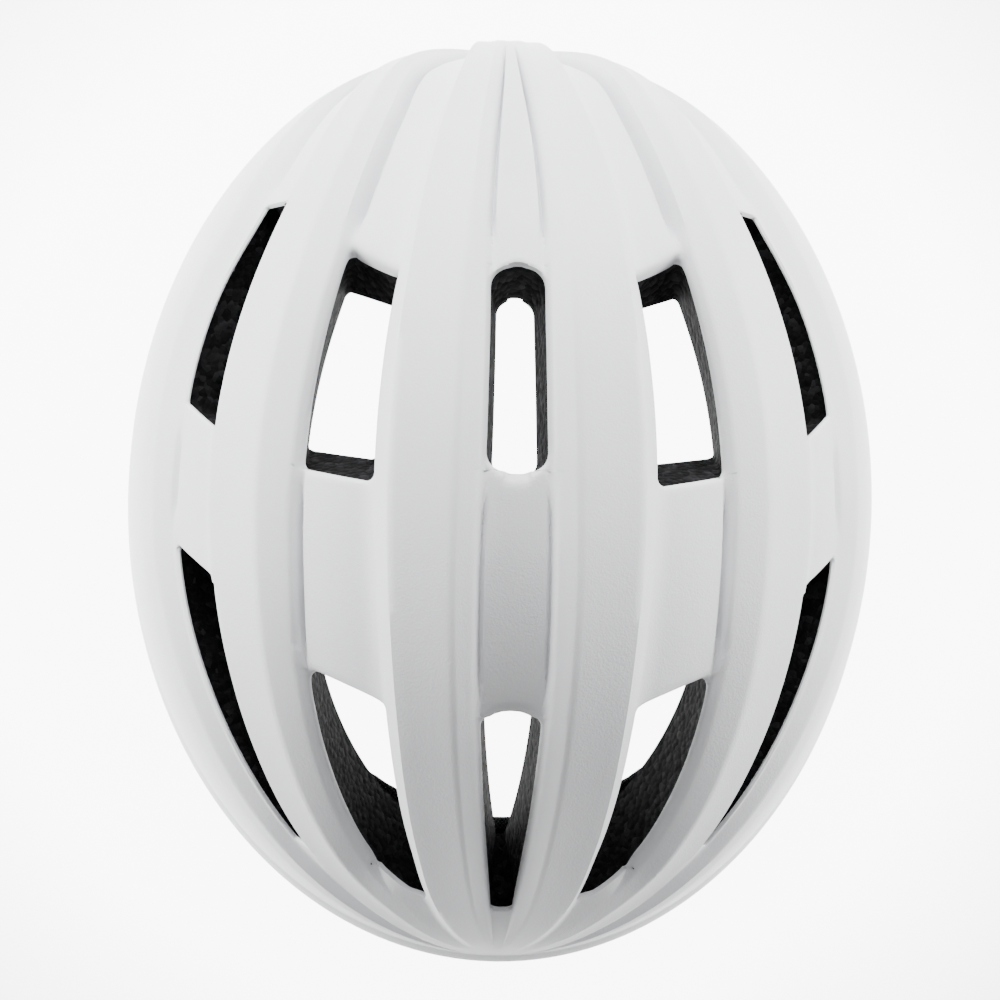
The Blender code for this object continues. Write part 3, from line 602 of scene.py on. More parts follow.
@dataclass(frozen=True)
class RibLines:
    """Key rib lines: their angle from the crown at stations along the dome, in degrees.

    A line's name is its angle in the middle of the helmet; towards the ends the lines draw together
    or spread, as the ribs do.
    """

    names: tuple[float, ...] = (0.0, 5.5, 23.4, 34.1, 50.2, 60.0, 90.0)
    stations: tuple[float, ...] = tuple(range(0, 181, 10))
    angles: tuple[tuple[float, ...], ...] = (
        (0.0,) * 19,
        (6, 6, 6.1, 6.4, 6.6, 6.6, 6.3, 5.9, 5.3, 4.9, 4.7, 4.7, 4.5, 4.1, 3.4, 2.7, 2.1, 1.6, 1.2),
        (45, 40, 35.4, 30.3, 27.5, 25.4, 24.2, 23.4, 22.8, 22, 21, 19.7, 18.6, 17.7, 16.9, 16.9, 19, 24, 30),
        (56, 50.5, 45.5, 47.2, 44.4, 42, 39.6, 37.2, 35.6, 34, 32.2, 30.2, 28.6, 28, 28.6, 33, 40, 50, 60),
        (71, 67.5, 65, 62.4, 60, 57.4, 55.6, 54, 52.5, 50.8, 48.5, 46, 43.6, 42.8, 44, 48, 54, 61, 70),
        (80, 77, 74, 71, 69, 67.8, 67.2, 66.8, 65.6, 62.8, 61, 58, 52.5, 51.5, 54, 61, 66, 72, 78),
        (90.0,) * 19)

    def table(self) -> tuple[Point, Point]:
        """Every key line's angle along the dome, smoothed.

        Returns:
            Stations a tenth of a degree apart, and one row of angles for each key line.
        """
        fine = np.arange(0.0, 180.05, 0.1)
        kernel = np.hanning(121)
        kernel /= kernel.sum()
        lines = []
        for line in self.angles:
            padded = np.pad(np.interp(fine, self.stations, line), 60, mode="reflect", reflect_type="odd")
            lines.append(np.convolve(padded, kernel, mode="valid"))
        return fine, np.array(lines)


class RibMap:
    """Turns rib-line names into dome angles and back."""

    def __init__(self) -> None:
        """Read the key lines."""
        lines = RibLines()
        self.names = np.array(lines.names)
        self.fine, self.lines = lines.table()

    def _keys(self, theta: float) -> Point:
        """Angles of all key lines at one place along the dome, in radians."""
        spot = min(max(math.degrees(theta) * 10, 0.0), len(self.fine) - 1.0)
        low = min(int(spot), len(self.fine) - 2)
        return np.radians(self.lines[:, low] + (self.lines[:, low + 1] - self.lines[:, low]) * (spot - low))

    def phi(self, name: float, theta: float) -> float:
        """Dome angle of a rib line at one place along the dome."""
        return math.copysign(float(np.interp(abs(name), self.names, self._keys(theta))), name)

    def name(self, phi: float, theta: float) -> float:
        """Rib line that passes through a dome angle."""
        return float(np.interp(abs(phi), self._keys(theta), self.names))


@dataclass(frozen=True)
class Vent:
    """One vent between two rib lines, in a band of the dome.

    Left and right are the lines up to which its rounded corners move the columns beside it. Each pair
    goes from the front end to the rear end, and the foot's shares move its walls inside the liner.
    """

    low: float
    high: float
    left: float
    right: float
    band: int
    corners: tuple[float, float]
    lip: float
    end_lips: tuple[float, float]
    foot_low: float = 0.0
    foot_high: float = 0.0

    def mirrored(self) -> "Vent":
        """The same vent on the other side."""
        return Vent(-self.high, -self.low, -self.right, -self.left, self.band, self.corners,
                    self.lip, self.end_lips, self.foot_high, self.foot_low)


MIDDLE_VENTS = (
    Vent(-5.2, 5.2, -9.4, 9.4, 1, (1.0 * MM, 3.4 * MM), 1.0 * MM, (0.5 * MM, 3.4 * MM), 1.4 * MM, 1.4 * MM),
    Vent(-5.2, 5.2, -9.4, 9.4, 3, (5.6 * MM, 6.6 * MM), 1.0 * MM, (4.4 * MM, 1.2 * MM), 2.4 * MM, 2.4 * MM))
LEFT_VENTS = (
    Vent(23.3, 34.2, 19.9, 40.3, 1, (1.2 * MM, 2.4 * MM), 1.0 * MM, (0.5 * MM, 3.2 * MM)),
    Vent(23.3, 34.2, 19.9, 40.3, 3, (2.4 * MM, 1.6 * MM), 1.0 * MM, (1.6 * MM, 4.5 * MM), 0.0, -2.0 * MM),
    Vent(50.4, 59.6, 47.0, 64.6, 1, (0.8 * MM, 1.4 * MM), 0.6 * MM, (0.5 * MM, 1.2 * MM)),
    Vent(50.4, 59.6, 47.0, 64.6, 3, (1.4 * MM, 0.8 * MM), 0.6 * MM, (1.0 * MM, 1.0 * MM)))


@dataclass
class VentGrid:
    """Fine grid of rows and columns over the dome that leaves the ten vents open.

    Every column is a rib line and every row crosses it; a vent's edges draw together at its corners.
    Bands of rows lie between the vents' ends, which cross the rib lines end_names at end_angles.
    """

    dome: Dome
    keys: tuple[float, ...] = (4.5, 5.2, 6.1, 9.4, 19.9, 23.3, 33.4, 34.2, 35.1, 40.3, 47.0, 50.4, 59.6,
                               61.0, 64.6, 71.0, 80.0, 90.0)
    cells: tuple[int, ...] = (6, 3, 4, 7, 9, 8, 9, 4, 4, 9, 6, 4, 9, 4, 6, 6, 6, 8)
    rows: tuple[int, ...] = (26, 44, 30, 44, 46)
    end_names: tuple[float, ...] = (0.0, 2.6, 5.2, 23.3, 28.7, 34.2, 50.4, 59.6, 90.0)
    end_angles: tuple[tuple[float, ...], ...] = (
        (16.8, 16.8, 16.8, 20.6, 22.6, 28.0, 35.0, 36.5, 38.0),
        (51.8, 51.7, 51.3, 54.1, 56.4, 58.8, 73.3, 78.4, 80.0),
        (82.4, 82.4, 82.6, 81.9, 82.9, 84.0, 91.2, 95.6, 97.0),
        (109.4, 109.4, 109.2, 108.7, 110.6, 112.5, 121.0, 122.2, 122.0))
    relax: float = 12.0
    most_squeeze: float = 0.36
    lip_blur: int = 4

    def __post_init__(self) -> None:
        """Lay out rows and columns and mark the open cells."""
        half = [0.0]
        for low, high, count in zip((0.0,) + self.keys, self.keys, self.cells):
            half += [low + (high - low) * (k + 1) / count for k in range(count)]
        self.columns = np.array([-name for name in reversed(half[1:])] + half)
        self.starts = np.cumsum((0,) + self.rows)
        self.last = int(self.starts[-1])
        self.map = RibMap()
        self.vents = [*MIDDLE_VENTS]
        self.vents += [vent for one in LEFT_VENTS for vent in (one, one.mirrored())]
        self.theta, self.phi = self._shape(False)
        self.foot_theta, self.foot_phi = self._shape(True)
        self._mark_open()

    def _ends(self, name: float, foot: bool) -> list[float]:
        """Places where a rib line crosses the vents' ends.

        Args:
            name: the rib line.
            foot: True for the vents' feet at the cavity, which lean away from their mouths.

        Returns:
            Angles along the dome in radians, with both poles.
        """
        crossings = [float(np.interp(abs(name), self.end_names, line)) for line in self.end_angles]
        degrees = [0.0, *crossings, 180.0]
        if foot:
            channel = float(smooth_step(14.0, 22.0, abs(name)) * (1 - smooth_step(36.0, 46.0, abs(name))))
            degrees[1] -= 2.6 + 5.6 * channel
            degrees[3] += 4.0 * channel
        return [math.radians(value) for value in degrees]

    def _row_share(self, band: int, share: float) -> float:
        """Share of a band's length at which a row lies; rows crowd together beside the vents' ends.

        Args:
            band: number of the band from the front.
            share: the row's number as a share of the band's rows.

        Returns:
            The share of the length.
        """
        if band == 0:
            return 0.25 * share + 0.75 * math.sin(math.pi / 2 * share)
        if band == len(self.rows) - 1:
            return 0.12 * share + 0.88 * (1 - math.cos(math.pi / 2 * share))
        return (1 - math.cos(math.pi * share)) / 2

    def _shape(self, foot: bool) -> tuple[Point, Point]:
        """Angles of every grid point.

        Args:
            foot: True for the feet of the vents, False for their mouths.

        Returns:
            Angles along and round the dome, in radians.
        """
        theta = np.zeros((self.last + 1, len(self.columns)))
        for j, name in enumerate(self.columns):
            ends = self._ends(name, foot)
            for band, count in enumerate(self.rows):
                for k in range(count + 1):
                    share = self._row_share(band, k / count)
                    theta[self.starts[band] + k, j] = ends[band] + (ends[band + 1] - ends[band]) * share
        phi = np.array([[self.map.phi(name, theta[i, j]) for j, name in enumerate(self.columns)]
                        for i in range(self.last + 1)])
        for vent in self.vents:
            self._round_corners(vent, theta, phi, foot)
        return theta, phi

    def _round_corners(self, vent: Vent, theta: Point, phi: Point, foot: bool) -> None:
        """Draw a vent's edges in at its corners, and let the columns beyond its ends ease back.

        Args:
            vent: the vent.
            theta: angles along the dome.
            phi: angles round the dome, which are changed in place.
            foot: True to move the walls by the foot's shares as well.
        """
        first, last = self.starts[vent.band], self.starts[vent.band + 1]
        inside = np.flatnonzero((self.columns > vent.left - 1e-6) & (self.columns < vent.right + 1e-6))
        low, high = (int(np.argmin(np.abs(self.columns - edge))) for edge in (vent.low, vent.high))
        middle = (low + high) // 2
        keys = (vent.left, vent.low, vent.high, vent.right)
        for i in range(1, self.last):
            beyond = max(first - i, i - last, 0)
            if beyond > self.relax:
                continue
            at = min(max(i, first), last)
            draw = 0.0
            for end, corner in zip((first, last), vent.corners):
                distance = abs(theta[at, middle] - theta[end, middle]) * self.dome.half_length
                if distance < corner:
                    draw = max(draw, corner - math.sqrt(corner ** 2 - (corner - distance) ** 2))
            ease = 1 - float(smooth_step(0.0, self.relax, beyond))
            across = self.dome.half_width * max(math.sin(theta[i, middle]), 0.2)
            shift_low, shift_high = draw / across * ease, -draw / across * ease
            if foot:
                shift_low += vent.foot_low / across * ease
                shift_high -= vent.foot_high / across * ease
            width = phi[i, high] - phi[i, low]
            squeeze = min(1.0, self.most_squeeze * width / max(shift_low, -shift_high, 1e-9))
            shifts = (0.0, shift_low * squeeze, shift_high * squeeze, 0.0)
            phi[i, inside] += np.interp(self.columns[inside], keys, shifts)

    def _mark_open(self) -> None:
        """Mark the cells inside vents and collect each vent's edge as a loop of grid places."""
        middle = (self.columns[:-1] + self.columns[1:]) / 2
        self.open = np.zeros((self.last, len(middle)), bool)
        self.loops = []
        for vent in self.vents:
            first, last = int(self.starts[vent.band]), int(self.starts[vent.band + 1])
            inside = np.flatnonzero((middle > vent.low) & (middle < vent.high))
            first_column, last_column = int(inside[0]), int(inside[-1]) + 1
            self.open[first:last, first_column:last_column] = True
            loop = [(i, first_column) for i in range(first, last)]
            loop += [(last, j) for j in range(first_column, last_column)]
            loop += [(i, last_column) for i in range(last, first, -1)]
            loop += [(first, j) for j in range(last_column, first_column, -1)]
            self.loops.append(loop)

    def rim_places(self) -> list[tuple[int, int, int]]:
        """Places round the rim.

        Returns:
            Row, column and side of each: front pole, left side, rear pole, right side.
        """
        end = len(self.columns) - 1
        left = [(i, end, 1) for i in range(1, self.last)]
        right = [(i, 0, -1) for i in range(self.last - 1, 0, -1)]
        return [(0, end, 1)] + left + [(self.last, end, 1)] + right

    def rim_angles(self) -> tuple[Point, Point]:
        """Angles along the dome and sides of the places round the rim."""
        theta, side = zip(*((self.theta[i, j], float(sign)) for i, j, sign in self.rim_places()))
        return np.array(theta), np.array(side)

    def lay_skin(self) -> None:
        """Work out the outer skin's points and normals, with its lips rounded into the vents."""
        point, smooth = self.dome.surface(self.theta, self.phi)
        names = np.array([[self.map.name(phi, theta) for phi, theta in zip(phis, thetas)]
                          for phis, thetas in zip(self.phi, self.theta)])
        point = point - smooth * self.dome.depth(self.theta, names)[..., None]
        normal = unit(np.cross(np.gradient(point, axis=1), np.gradient(point, axis=0)))
        normal[0] = smooth[0]
        normal[-1] = smooth[-1]
        normal = np.where((normal * smooth).sum(-1, keepdims=True) < 0, -normal, normal)
        edge, ways, lips = self._edges(point, smooth)
        tree = KDTree(len(edge))
        for index, spot in enumerate(edge):
            tree.insert(spot, index)
        tree.balance()
        skin, tilt = point.copy(), normal.copy()
        for i in range(1, self.last):
            for j in range(len(self.columns)):
                _, index, distance = tree.find(point[i, j])
                radius = lips[index]
                if distance >= radius:
                    continue
                share = (radius - distance) / radius
                fall = radius - math.sqrt(max(radius ** 2 - (radius * share) ** 2, 0.0))
                skin[i, j] = point[i, j] - smooth[i, j] * fall
                tilt[i, j] = normal[i, j] * math.sqrt(max(1 - share ** 2, 0.0)) + ways[index] * share
        self.skin, self.tilt = skin, unit(tilt)
        self.way_in = self.dome.way_in(self.theta, self.phi)

    def _edges(self, point: Point, smooth: Point) -> tuple[Point, Point, list[float]]:
        """Edges of all vents, and each edge's own directions into its vent, kept as edge_way.

        Args:
            point: the ribbed surface before its lips are rounded.
            smooth: normals of the smooth dome.

        Returns:
            The edges' points, the directions from them into the vents, and the lips' radii in metres.
        """
        lines, lips = [], []
        self.edge_way = []
        for loop, vent in zip(self.loops, self.vents):
            line = np.array([point[i, j] for i, j in loop])
            up = np.array([smooth[i, j] for i, j in loop])
            way = unit(np.cross(up, np.roll(line, -1, 0) - np.roll(line, 1, 0)))
            if ((line.mean(0) - line) * way).sum() < 0:
                way = -way
            lines.append(line)
            self.edge_way.append(way)
            first, last = self.starts[vent.band], self.starts[vent.band + 1]
            ends = {first: vent.end_lips[0], last: vent.end_lips[1]}
            ring = np.array([ends.get(i, vent.lip) for i, _ in loop])
            for _ in range(2):
                near = range(-self.lip_blur, self.lip_blur + 1)
                ring = np.mean([np.roll(ring, k) for k in near], axis=0)
            lips += ring.tolist()
        return np.concatenate(lines), np.concatenate(self.edge_way), lips


@dataclass
class GridBody:
    """Collects the points and faces of a closed body on the vent grid."""

    grid: VentGrid

    def __post_init__(self) -> None:
        """Start empty."""
        self.points: list[Point] = []
        self.faces: list[tuple[int, ...]] = []
        self.count = 0

    def add_line(self, points: Point) -> Point:
        """Add points.

        Args:
            points: the points, in metres.

        Returns:
            Their numbers.
        """
        self.points.append(points)
        numbers = np.arange(self.count, self.count + len(points))
        self.count += len(points)
        return numbers

    def add_layer(self, surface: Point) -> Point:
        """Add one surface of the grid without its vents; each pole is a single point.

        Args:
            surface: a point for each row and column.

        Returns:
            The points' numbers by row and column.
        """
        rows, columns = surface.shape[:2]
        numbers = self.add_line(surface.reshape(-1, 3)).reshape(rows, columns).copy()
        numbers[0] = numbers[0, 0]
        numbers[-1] = numbers[-1, 0]
        for i in range(rows - 1):
            for j in range(columns - 1):
                if not self.grid.open[i, j]:
                    corners = (numbers[i, j], numbers[i, j + 1], numbers[i + 1, j + 1], numbers[i + 1, j])
                    self.faces.append(tuple(dict.fromkeys(int(corner) for corner in corners)))
        return numbers

    def bridge(self, lines: list[Point]) -> None:
        """Join closed lines of equally many points by bands of faces."""
        for first, second in zip(lines, lines[1:]):
            for corners in zip(first, np.roll(first, -1), np.roll(second, -1), second):
                self.faces.append(tuple(int(corner) for corner in corners))

    def loop_numbers(self, layer: Point, index: int) -> Point:
        """Numbers of a layer's points round one vent."""
        return np.array([layer[i, j] for i, j in self.grid.loops[index]])

    def rim_numbers(self, layer: Point) -> Point:
        """Numbers of a layer's points round the rim."""
        return np.array([layer[i, j] for i, j, _ in self.grid.rim_places()])

    def rim_lines(self, steps: Sequence[tuple[float, float]], inset: float) -> list[Point]:
        """Add lines of the rolled edge at shares of its bulge and drop."""
        theta, side = self.grid.rim_angles()
        return [self.add_line(self.grid.dome.rim(theta, side, out, down, inset)) for out, down in steps]

    def finish(self, name: str) -> bpy.types.Object:
        """Make the object, without the points that no face uses.

        Args:
            name: the object's name.

        Returns:
            The object.
        """
        points = np.concatenate(self.points)
        used = np.unique(np.concatenate([np.array(face) for face in self.faces]))
        renumber = np.full(len(points), -1)
        renumber[used] = np.arange(len(used))
        faces = [tuple(int(renumber[corner]) for corner in face) for face in self.faces]
        return mesh_piece(name, points[used], faces)


def roll_steps(share: float = 1.0) -> list[tuple[float, float]]:
    """Steps down the rolled edge: out to its fullest, then round to the bottom.

    Args:
        share: how much of the drop is kept.

    Returns:
        Shares of the edge's bulge and of its drop.
    """
    steps = [(0.25, 0.08), (0.6, 0.2), (0.9, 0.36), (1.0, 0.5), (0.9, 0.62), (0.4, 0.74)]
    steps += [(-0.6, 0.85), (-2.2, 0.94), (-4.6, 0.99), (-7.0, 1.0)]
    return [(out, down * share) for out, down in steps]


@dataclass
class OuterShell:
    """White skin whose lips turn down into the vents and whose edge rolls round the rim."""

    grid: VentGrid
    wall: float = 0.9 * MM
    skirt: float = 0.8 * MM

    def build(self) -> bpy.types.Object:
        """Make the skin.

        Returns:
            The piece, without its finish.
        """
        grid = self.grid
        body = GridBody(grid)
        outer = body.add_layer(grid.skin)
        inner = body.add_layer(grid.skin - grid.tilt * self.wall)
        for index, loop in enumerate(grid.loops):
            edge = np.array([grid.skin[i, j] for i, j in loop])
            down = np.array([grid.way_in[i, j] for i, j in loop])
            away = grid.edge_way[index] * self.wall
            skirt = self.skirt * min(1.0, grid.vents[index].lip / MM)
            lower = body.add_line(edge - down * skirt)
            under = body.add_line(edge - down * skirt - away)
            body.bridge([body.loop_numbers(outer, index), lower, under, body.loop_numbers(inner, index)])
        outside = body.rim_lines(roll_steps(), 0.0)
        inside = body.rim_lines(roll_steps(RIM_SHARE)[::-1], self.wall)
        body.bridge([body.rim_numbers(outer), *outside, *inside, body.rim_numbers(inner)])
        return body.finish("helmet_shell")


@dataclass
class FoamLiner:
    """Bead foam body between the skin and the head cavity, with straight vent walls."""

    grid: VentGrid
    inset: float = 1.7 * MM
    wall_steps: int = 9
    floor_shares: tuple[float, ...] = (0.25, 0.5, 0.75, 1.0)
    rise_shares: tuple[float, ...] = (0.2, 0.6)

    def build(self) -> bpy.types.Object:
        """Make the liner.

        Returns:
            The piece, without its finish.
        """
        grid = self.grid
        body = GridBody(grid)
        outside = grid.skin - grid.tilt * self.inset
        cavity = grid.dome.cavity(grid.foot_theta, grid.foot_phi)
        outer = body.add_layer(outside)
        inner = body.add_layer(cavity)
        for index, loop in enumerate(grid.loops):
            top = np.array([outside[i, j] for i, j in loop])
            foot = np.array([cavity[i, j] for i, j in loop])
            lines = [body.loop_numbers(outer, index)]
            for k in range(1, self.wall_steps):
                lines.append(body.add_line(top + (foot - top) * (k / self.wall_steps)))
            body.bridge([*lines, body.loop_numbers(inner, index)])
        edges = body.rim_lines(roll_steps(RIM_SHARE), self.inset)
        floor = self._floor(body)
        body.bridge([body.rim_numbers(outer), *edges, *floor, body.rim_numbers(inner)])
        return body.finish("helmet_foam")

    def _floor(self, body: GridBody) -> list[Point]:
        """Add the lines under the rim, from the rolled edge's last line in and up to the cavity.

        Args:
            body: the liner so far.

        Returns:
            Numbers of each line's points.
        """
        dome = self.grid.dome
        theta, side = self.grid.rim_angles()
        bottom = body.points[-1]
        foot = dome.cavity(theta, side * math.pi / 2)
        drop = dome.rim(theta, side, 0.0, RIM_SHARE, 0.0) - dome.rim(theta, side, 0.0, 0.0, 0.0)
        inner_edge = foot + drop
        lines = [bottom + (inner_edge - bottom) * share for share in self.floor_shares]
        lines += [inner_edge + (foot - inner_edge) * share for share in self.rise_shares]
        return [body.add_line(line) for line in lines]


@dataclass
class FitRing:
    """Places on the fit ring that hangs from the temple pins."""

    fall: float = math.radians(33)
    setback: float = 27.0 * MM
    pin_height: float = -15 * MM
    cradle_inside: float = 73.25 * MM

    def point(self, degrees: Point, radius: Point, height: Point) -> Point:
        """Places on the ring.

        Args:
            degrees: angles from the nape.
            radius: distances from the ring's axis.
            height: heights above its middle plane.

        Returns:
            The points.
        """
        back = np.array((0.0, math.cos(self.fall), -math.sin(self.fall)))
        up = np.array((0.0, math.sin(self.fall), math.cos(self.fall)))
        centre = np.array((0.0, 0.0, self.pin_height)) + back * self.setback
        turn = np.radians(degrees)
        way = np.outer(np.sin(turn), (1.0, 0.0, 0.0)) + np.outer(np.cos(turn), back)
        return centre + way * radius[:, None] + np.outer(height, up)


@dataclass
class PadSet:
    """Seven comfort pads, each puffed from a slightly smaller form by a cloth simulation."""

    dome: Dome
    lift: float = 2.2 * MM
    cradle_gap: float = 0.7 * MM
    thickness: float = 5.4 * MM
    shrink: float = 0.93
    brow_bearing: tuple[float, float] = (-46.0, 46.0)
    brow_rise: tuple[float, float] = (4.0, 11.8)
    crown_plan: tuple[float, float] = (-44.0, 52.0)
    crown_angle: tuple[float, float] = (9.5, 19.5)
    side_plan: tuple[float, float] = (-30.0, 46.0)
    side_angle: tuple[float, float] = (41.0, 50.0)
    nape_angle: tuple[float, float] = (9.0, 33.0)
    nape_half_height: float = 6 * MM
    cuts: int = 15
    voxel: float = 1.6 * MM
    pressure: float = 4.0
    frames: int = 20
    cap: float = 1.0 * MM

    def build(self) -> None:
        finish = KnitFinish().material()
        spans = [("brow", self._rim_place, self.brow_bearing, self.brow_rise)]
        for side, sign in SIDES:
            for name, plan, angle in (("crown", self.crown_plan, self.crown_angle),
                                      ("side", self.side_plan, self.side_angle)):
                across = (angle[0] * sign, angle[1] * sign)
                spans.append((f"{name}_{side}", self._rib_place, plan, across))
        for name, place, along, across in spans:
            pad = self._pillow(f"{name}_soft_pad", partial(self._lined, place, along, across))
            self._finish(pad, finish, "helmet", f"{name}_pad")
        for side, sign in SIDES:
            pad = self._pillow(f"nape_{side}_soft_pad", partial(self._ringed, sign))
            self._finish(pad, finish, "cradle", f"nape_pad_{side}")

    def _finish(self, pad: bpy.types.Object, finish: bpy.types.Material, body: str, node: str) -> None:
        """Dress a pad and hide the constructed pad that it replaces."""
        dress(pad, finish, body, "pad_fabric", node)

    def _rib_place(self, along: Point, across: Point) -> tuple[Point, Point]:
        """Dome angles of a plan position in millimetres on a line round the axis."""
        phi = np.radians(across)
        return self.dome.theta_at(along * MM, phi), phi

    def _rim_place(self, along: Point, across: Point) -> tuple[Point, Point]:
        """Dome angles of a bearing from the front and an angle above the rim."""
        bearing, rise = np.radians(along), np.radians(across)
        level = np.cos(rise)
        return np.arccos(level * np.cos(bearing)), np.arctan2(level * np.sin(bearing), np.sin(rise))

    def _within(self, span: Sequence[float], share: Point) -> Point:
        """Places between the two ends of a span, for shares from -1 to 1, drawn in by the shrink."""
        return (span[0] + span[1]) / 2 + (span[1] - span[0]) / 2 * share * self.shrink

    def _lined(self, place: Callable, along: Sequence[float], across: Sequence[float], u: Point, v: Point,
               depth: Point) -> Point:
        """Points over the cavity wall.

        Args:
            place: turns places along and across the pad into dome angles.
            along: the pad's two ends.
            across: its two long edges.
            u: shares along it, from -1 to 1.
            v: shares across it, from -1 to 1.
            depth: 0 at the wall and 1 at the full thickness.

        Returns:
            The points.
        """
        theta, phi = place(self._within(along, u), self._within(across, v))
        way = self.dome.way_in(theta, phi)
        inset = self.dome.wall(theta) + self.lift + self.thickness * depth
        return self.dome.surface(theta, phi)[0] - way * inset[..., None]

    def _ringed(self, sign: int, u: Point, v: Point, depth: Point) -> Point:
        """Points inside the rear cradle, by the same shares as _lined.

        Args:
            sign: 1 on the wearer's left, -1 on the right.
            u: shares along the pad, from -1 to 1.
            v: shares across it, from -1 to 1.
            depth: 0 at the cradle and 1 at the full thickness.

        Returns:
            The points.
        """
        ring = FitRing()
        angle = sign * self._within(self.nape_angle, u)
        radius = ring.cradle_inside - self.cradle_gap - self.thickness * depth
        return ring.point(angle, radius, self.nape_half_height * v * self.shrink)

    def _pillow(self, name: str, place: Callable) -> bpy.types.Object:
        """Make a rounded, crowned pad from a subdivided cube and puff it.

        Args:
            name: the pad's name.
            place: turns shares along, across and through the pad into points.

        Returns:
            The pad, without its finish.
        """
        bpy.ops.mesh.primitive_cube_add(size=2.0)
        pad = bpy.context.object
        pad.name = name
        bpy.ops.object.mode_set(mode="EDIT")
        bpy.ops.mesh.select_all(action="SELECT")
        bpy.ops.mesh.subdivide(number_cuts=self.cuts)
        bpy.ops.object.mode_set(mode="OBJECT")
        u, v, w = np.array([corner.co for corner in pad.data.vertices]).T
        border = np.clip(np.abs(u) ** 8 + np.abs(v) ** 8, 0, 1)
        pull = 1 - 0.10 * np.clip(np.abs(u) ** 6 * np.abs(v) ** 6, 0, 1)
        depth = 0.5 + 0.5 * w * (1 - 0.45 * border)
        depth = np.where(w < 0, depth * 0.55, depth)
        for vertex, spot in zip(pad.data.vertices, place(u * pull, v * pull, depth)):
            vertex.co = spot
        remesh = pad.modifiers.new("remesh", "REMESH")
        remesh.mode = "VOXEL"
        remesh.voxel_size = self.voxel
        apply_modifiers(pad)
        self._puff(pad)
        smooth = pad.modifiers.new("smooth", "SMOOTH")
        smooth.factor = 0.5
        smooth.iterations = 6
        pad.modifiers.new("rounding", "SUBSURF").levels = 1
        apply_modifiers(pad)
        bpy.ops.object.shade_smooth()
        return pad

    def _puff(self, pad: bpy.types.Object) -> None:
        """Swell a pad by cloth pressure, with no point moved further than the cap."""
        before = np.array([vertex.co for vertex in pad.data.vertices])
        cloth = pad.modifiers.new("puff", "CLOTH")
        cloth.settings.use_pressure = True
        cloth.settings.uniform_pressure_force = self.pressure
        cloth.settings.effector_weights.gravity = 0.0
        cloth.point_cache.frame_start = 1
        cloth.point_cache.frame_end = self.frames
        scene = bpy.context.scene
        for step in range(1, self.frames + 1):
            scene.frame_set(step)
        shaped = pad.evaluated_get(bpy.context.evaluated_depsgraph_get())
        move = np.array([vertex.co for vertex in shaped.data.vertices]) - before
        length = np.linalg.norm(move, axis=1, keepdims=True)
        move *= np.minimum(1.0, self.cap / np.maximum(length, 1e-9))
        pad.modifiers.remove(cloth)
        for vertex, spot in zip(pad.data.vertices, before + move):
            vertex.co = spot
        scene.frame_set(1)


@dataclass(frozen=True)
class StrapPath:
    """Line of a strap: a cubic curve and the directions its face has at both ends."""

    points: tuple[Point, Point, Point, Point]
    faces: tuple[Point, Point]

    def at(self, t: float) -> tuple[Point, Point, Point]:
        """Frame of the strap.

        Args:
            t: share of the way.

        Returns:
            The point, the width direction and the face direction there.
        """
        a, b, c, d = self.points
        s = 1 - t
        spot = a * s ** 3 + b * (3 * s * s * t) + c * (3 * s * t * t) + d * t ** 3
        way = unit((b - a) * s * s + (c - b) * (2 * s * t) + (d - c) * t * t)
        across = unit(np.cross(way, self.faces[0] * s + self.faces[1] * t))
        return spot, across, np.cross(across, way)

    def length(self) -> float:
        """Length along the curve in metres."""
        line = np.array([self.at(t)[0] for t in np.linspace(0.0, 1.0, 200)])
        return float(np.linalg.norm(np.diff(line, axis=0), axis=1).sum())


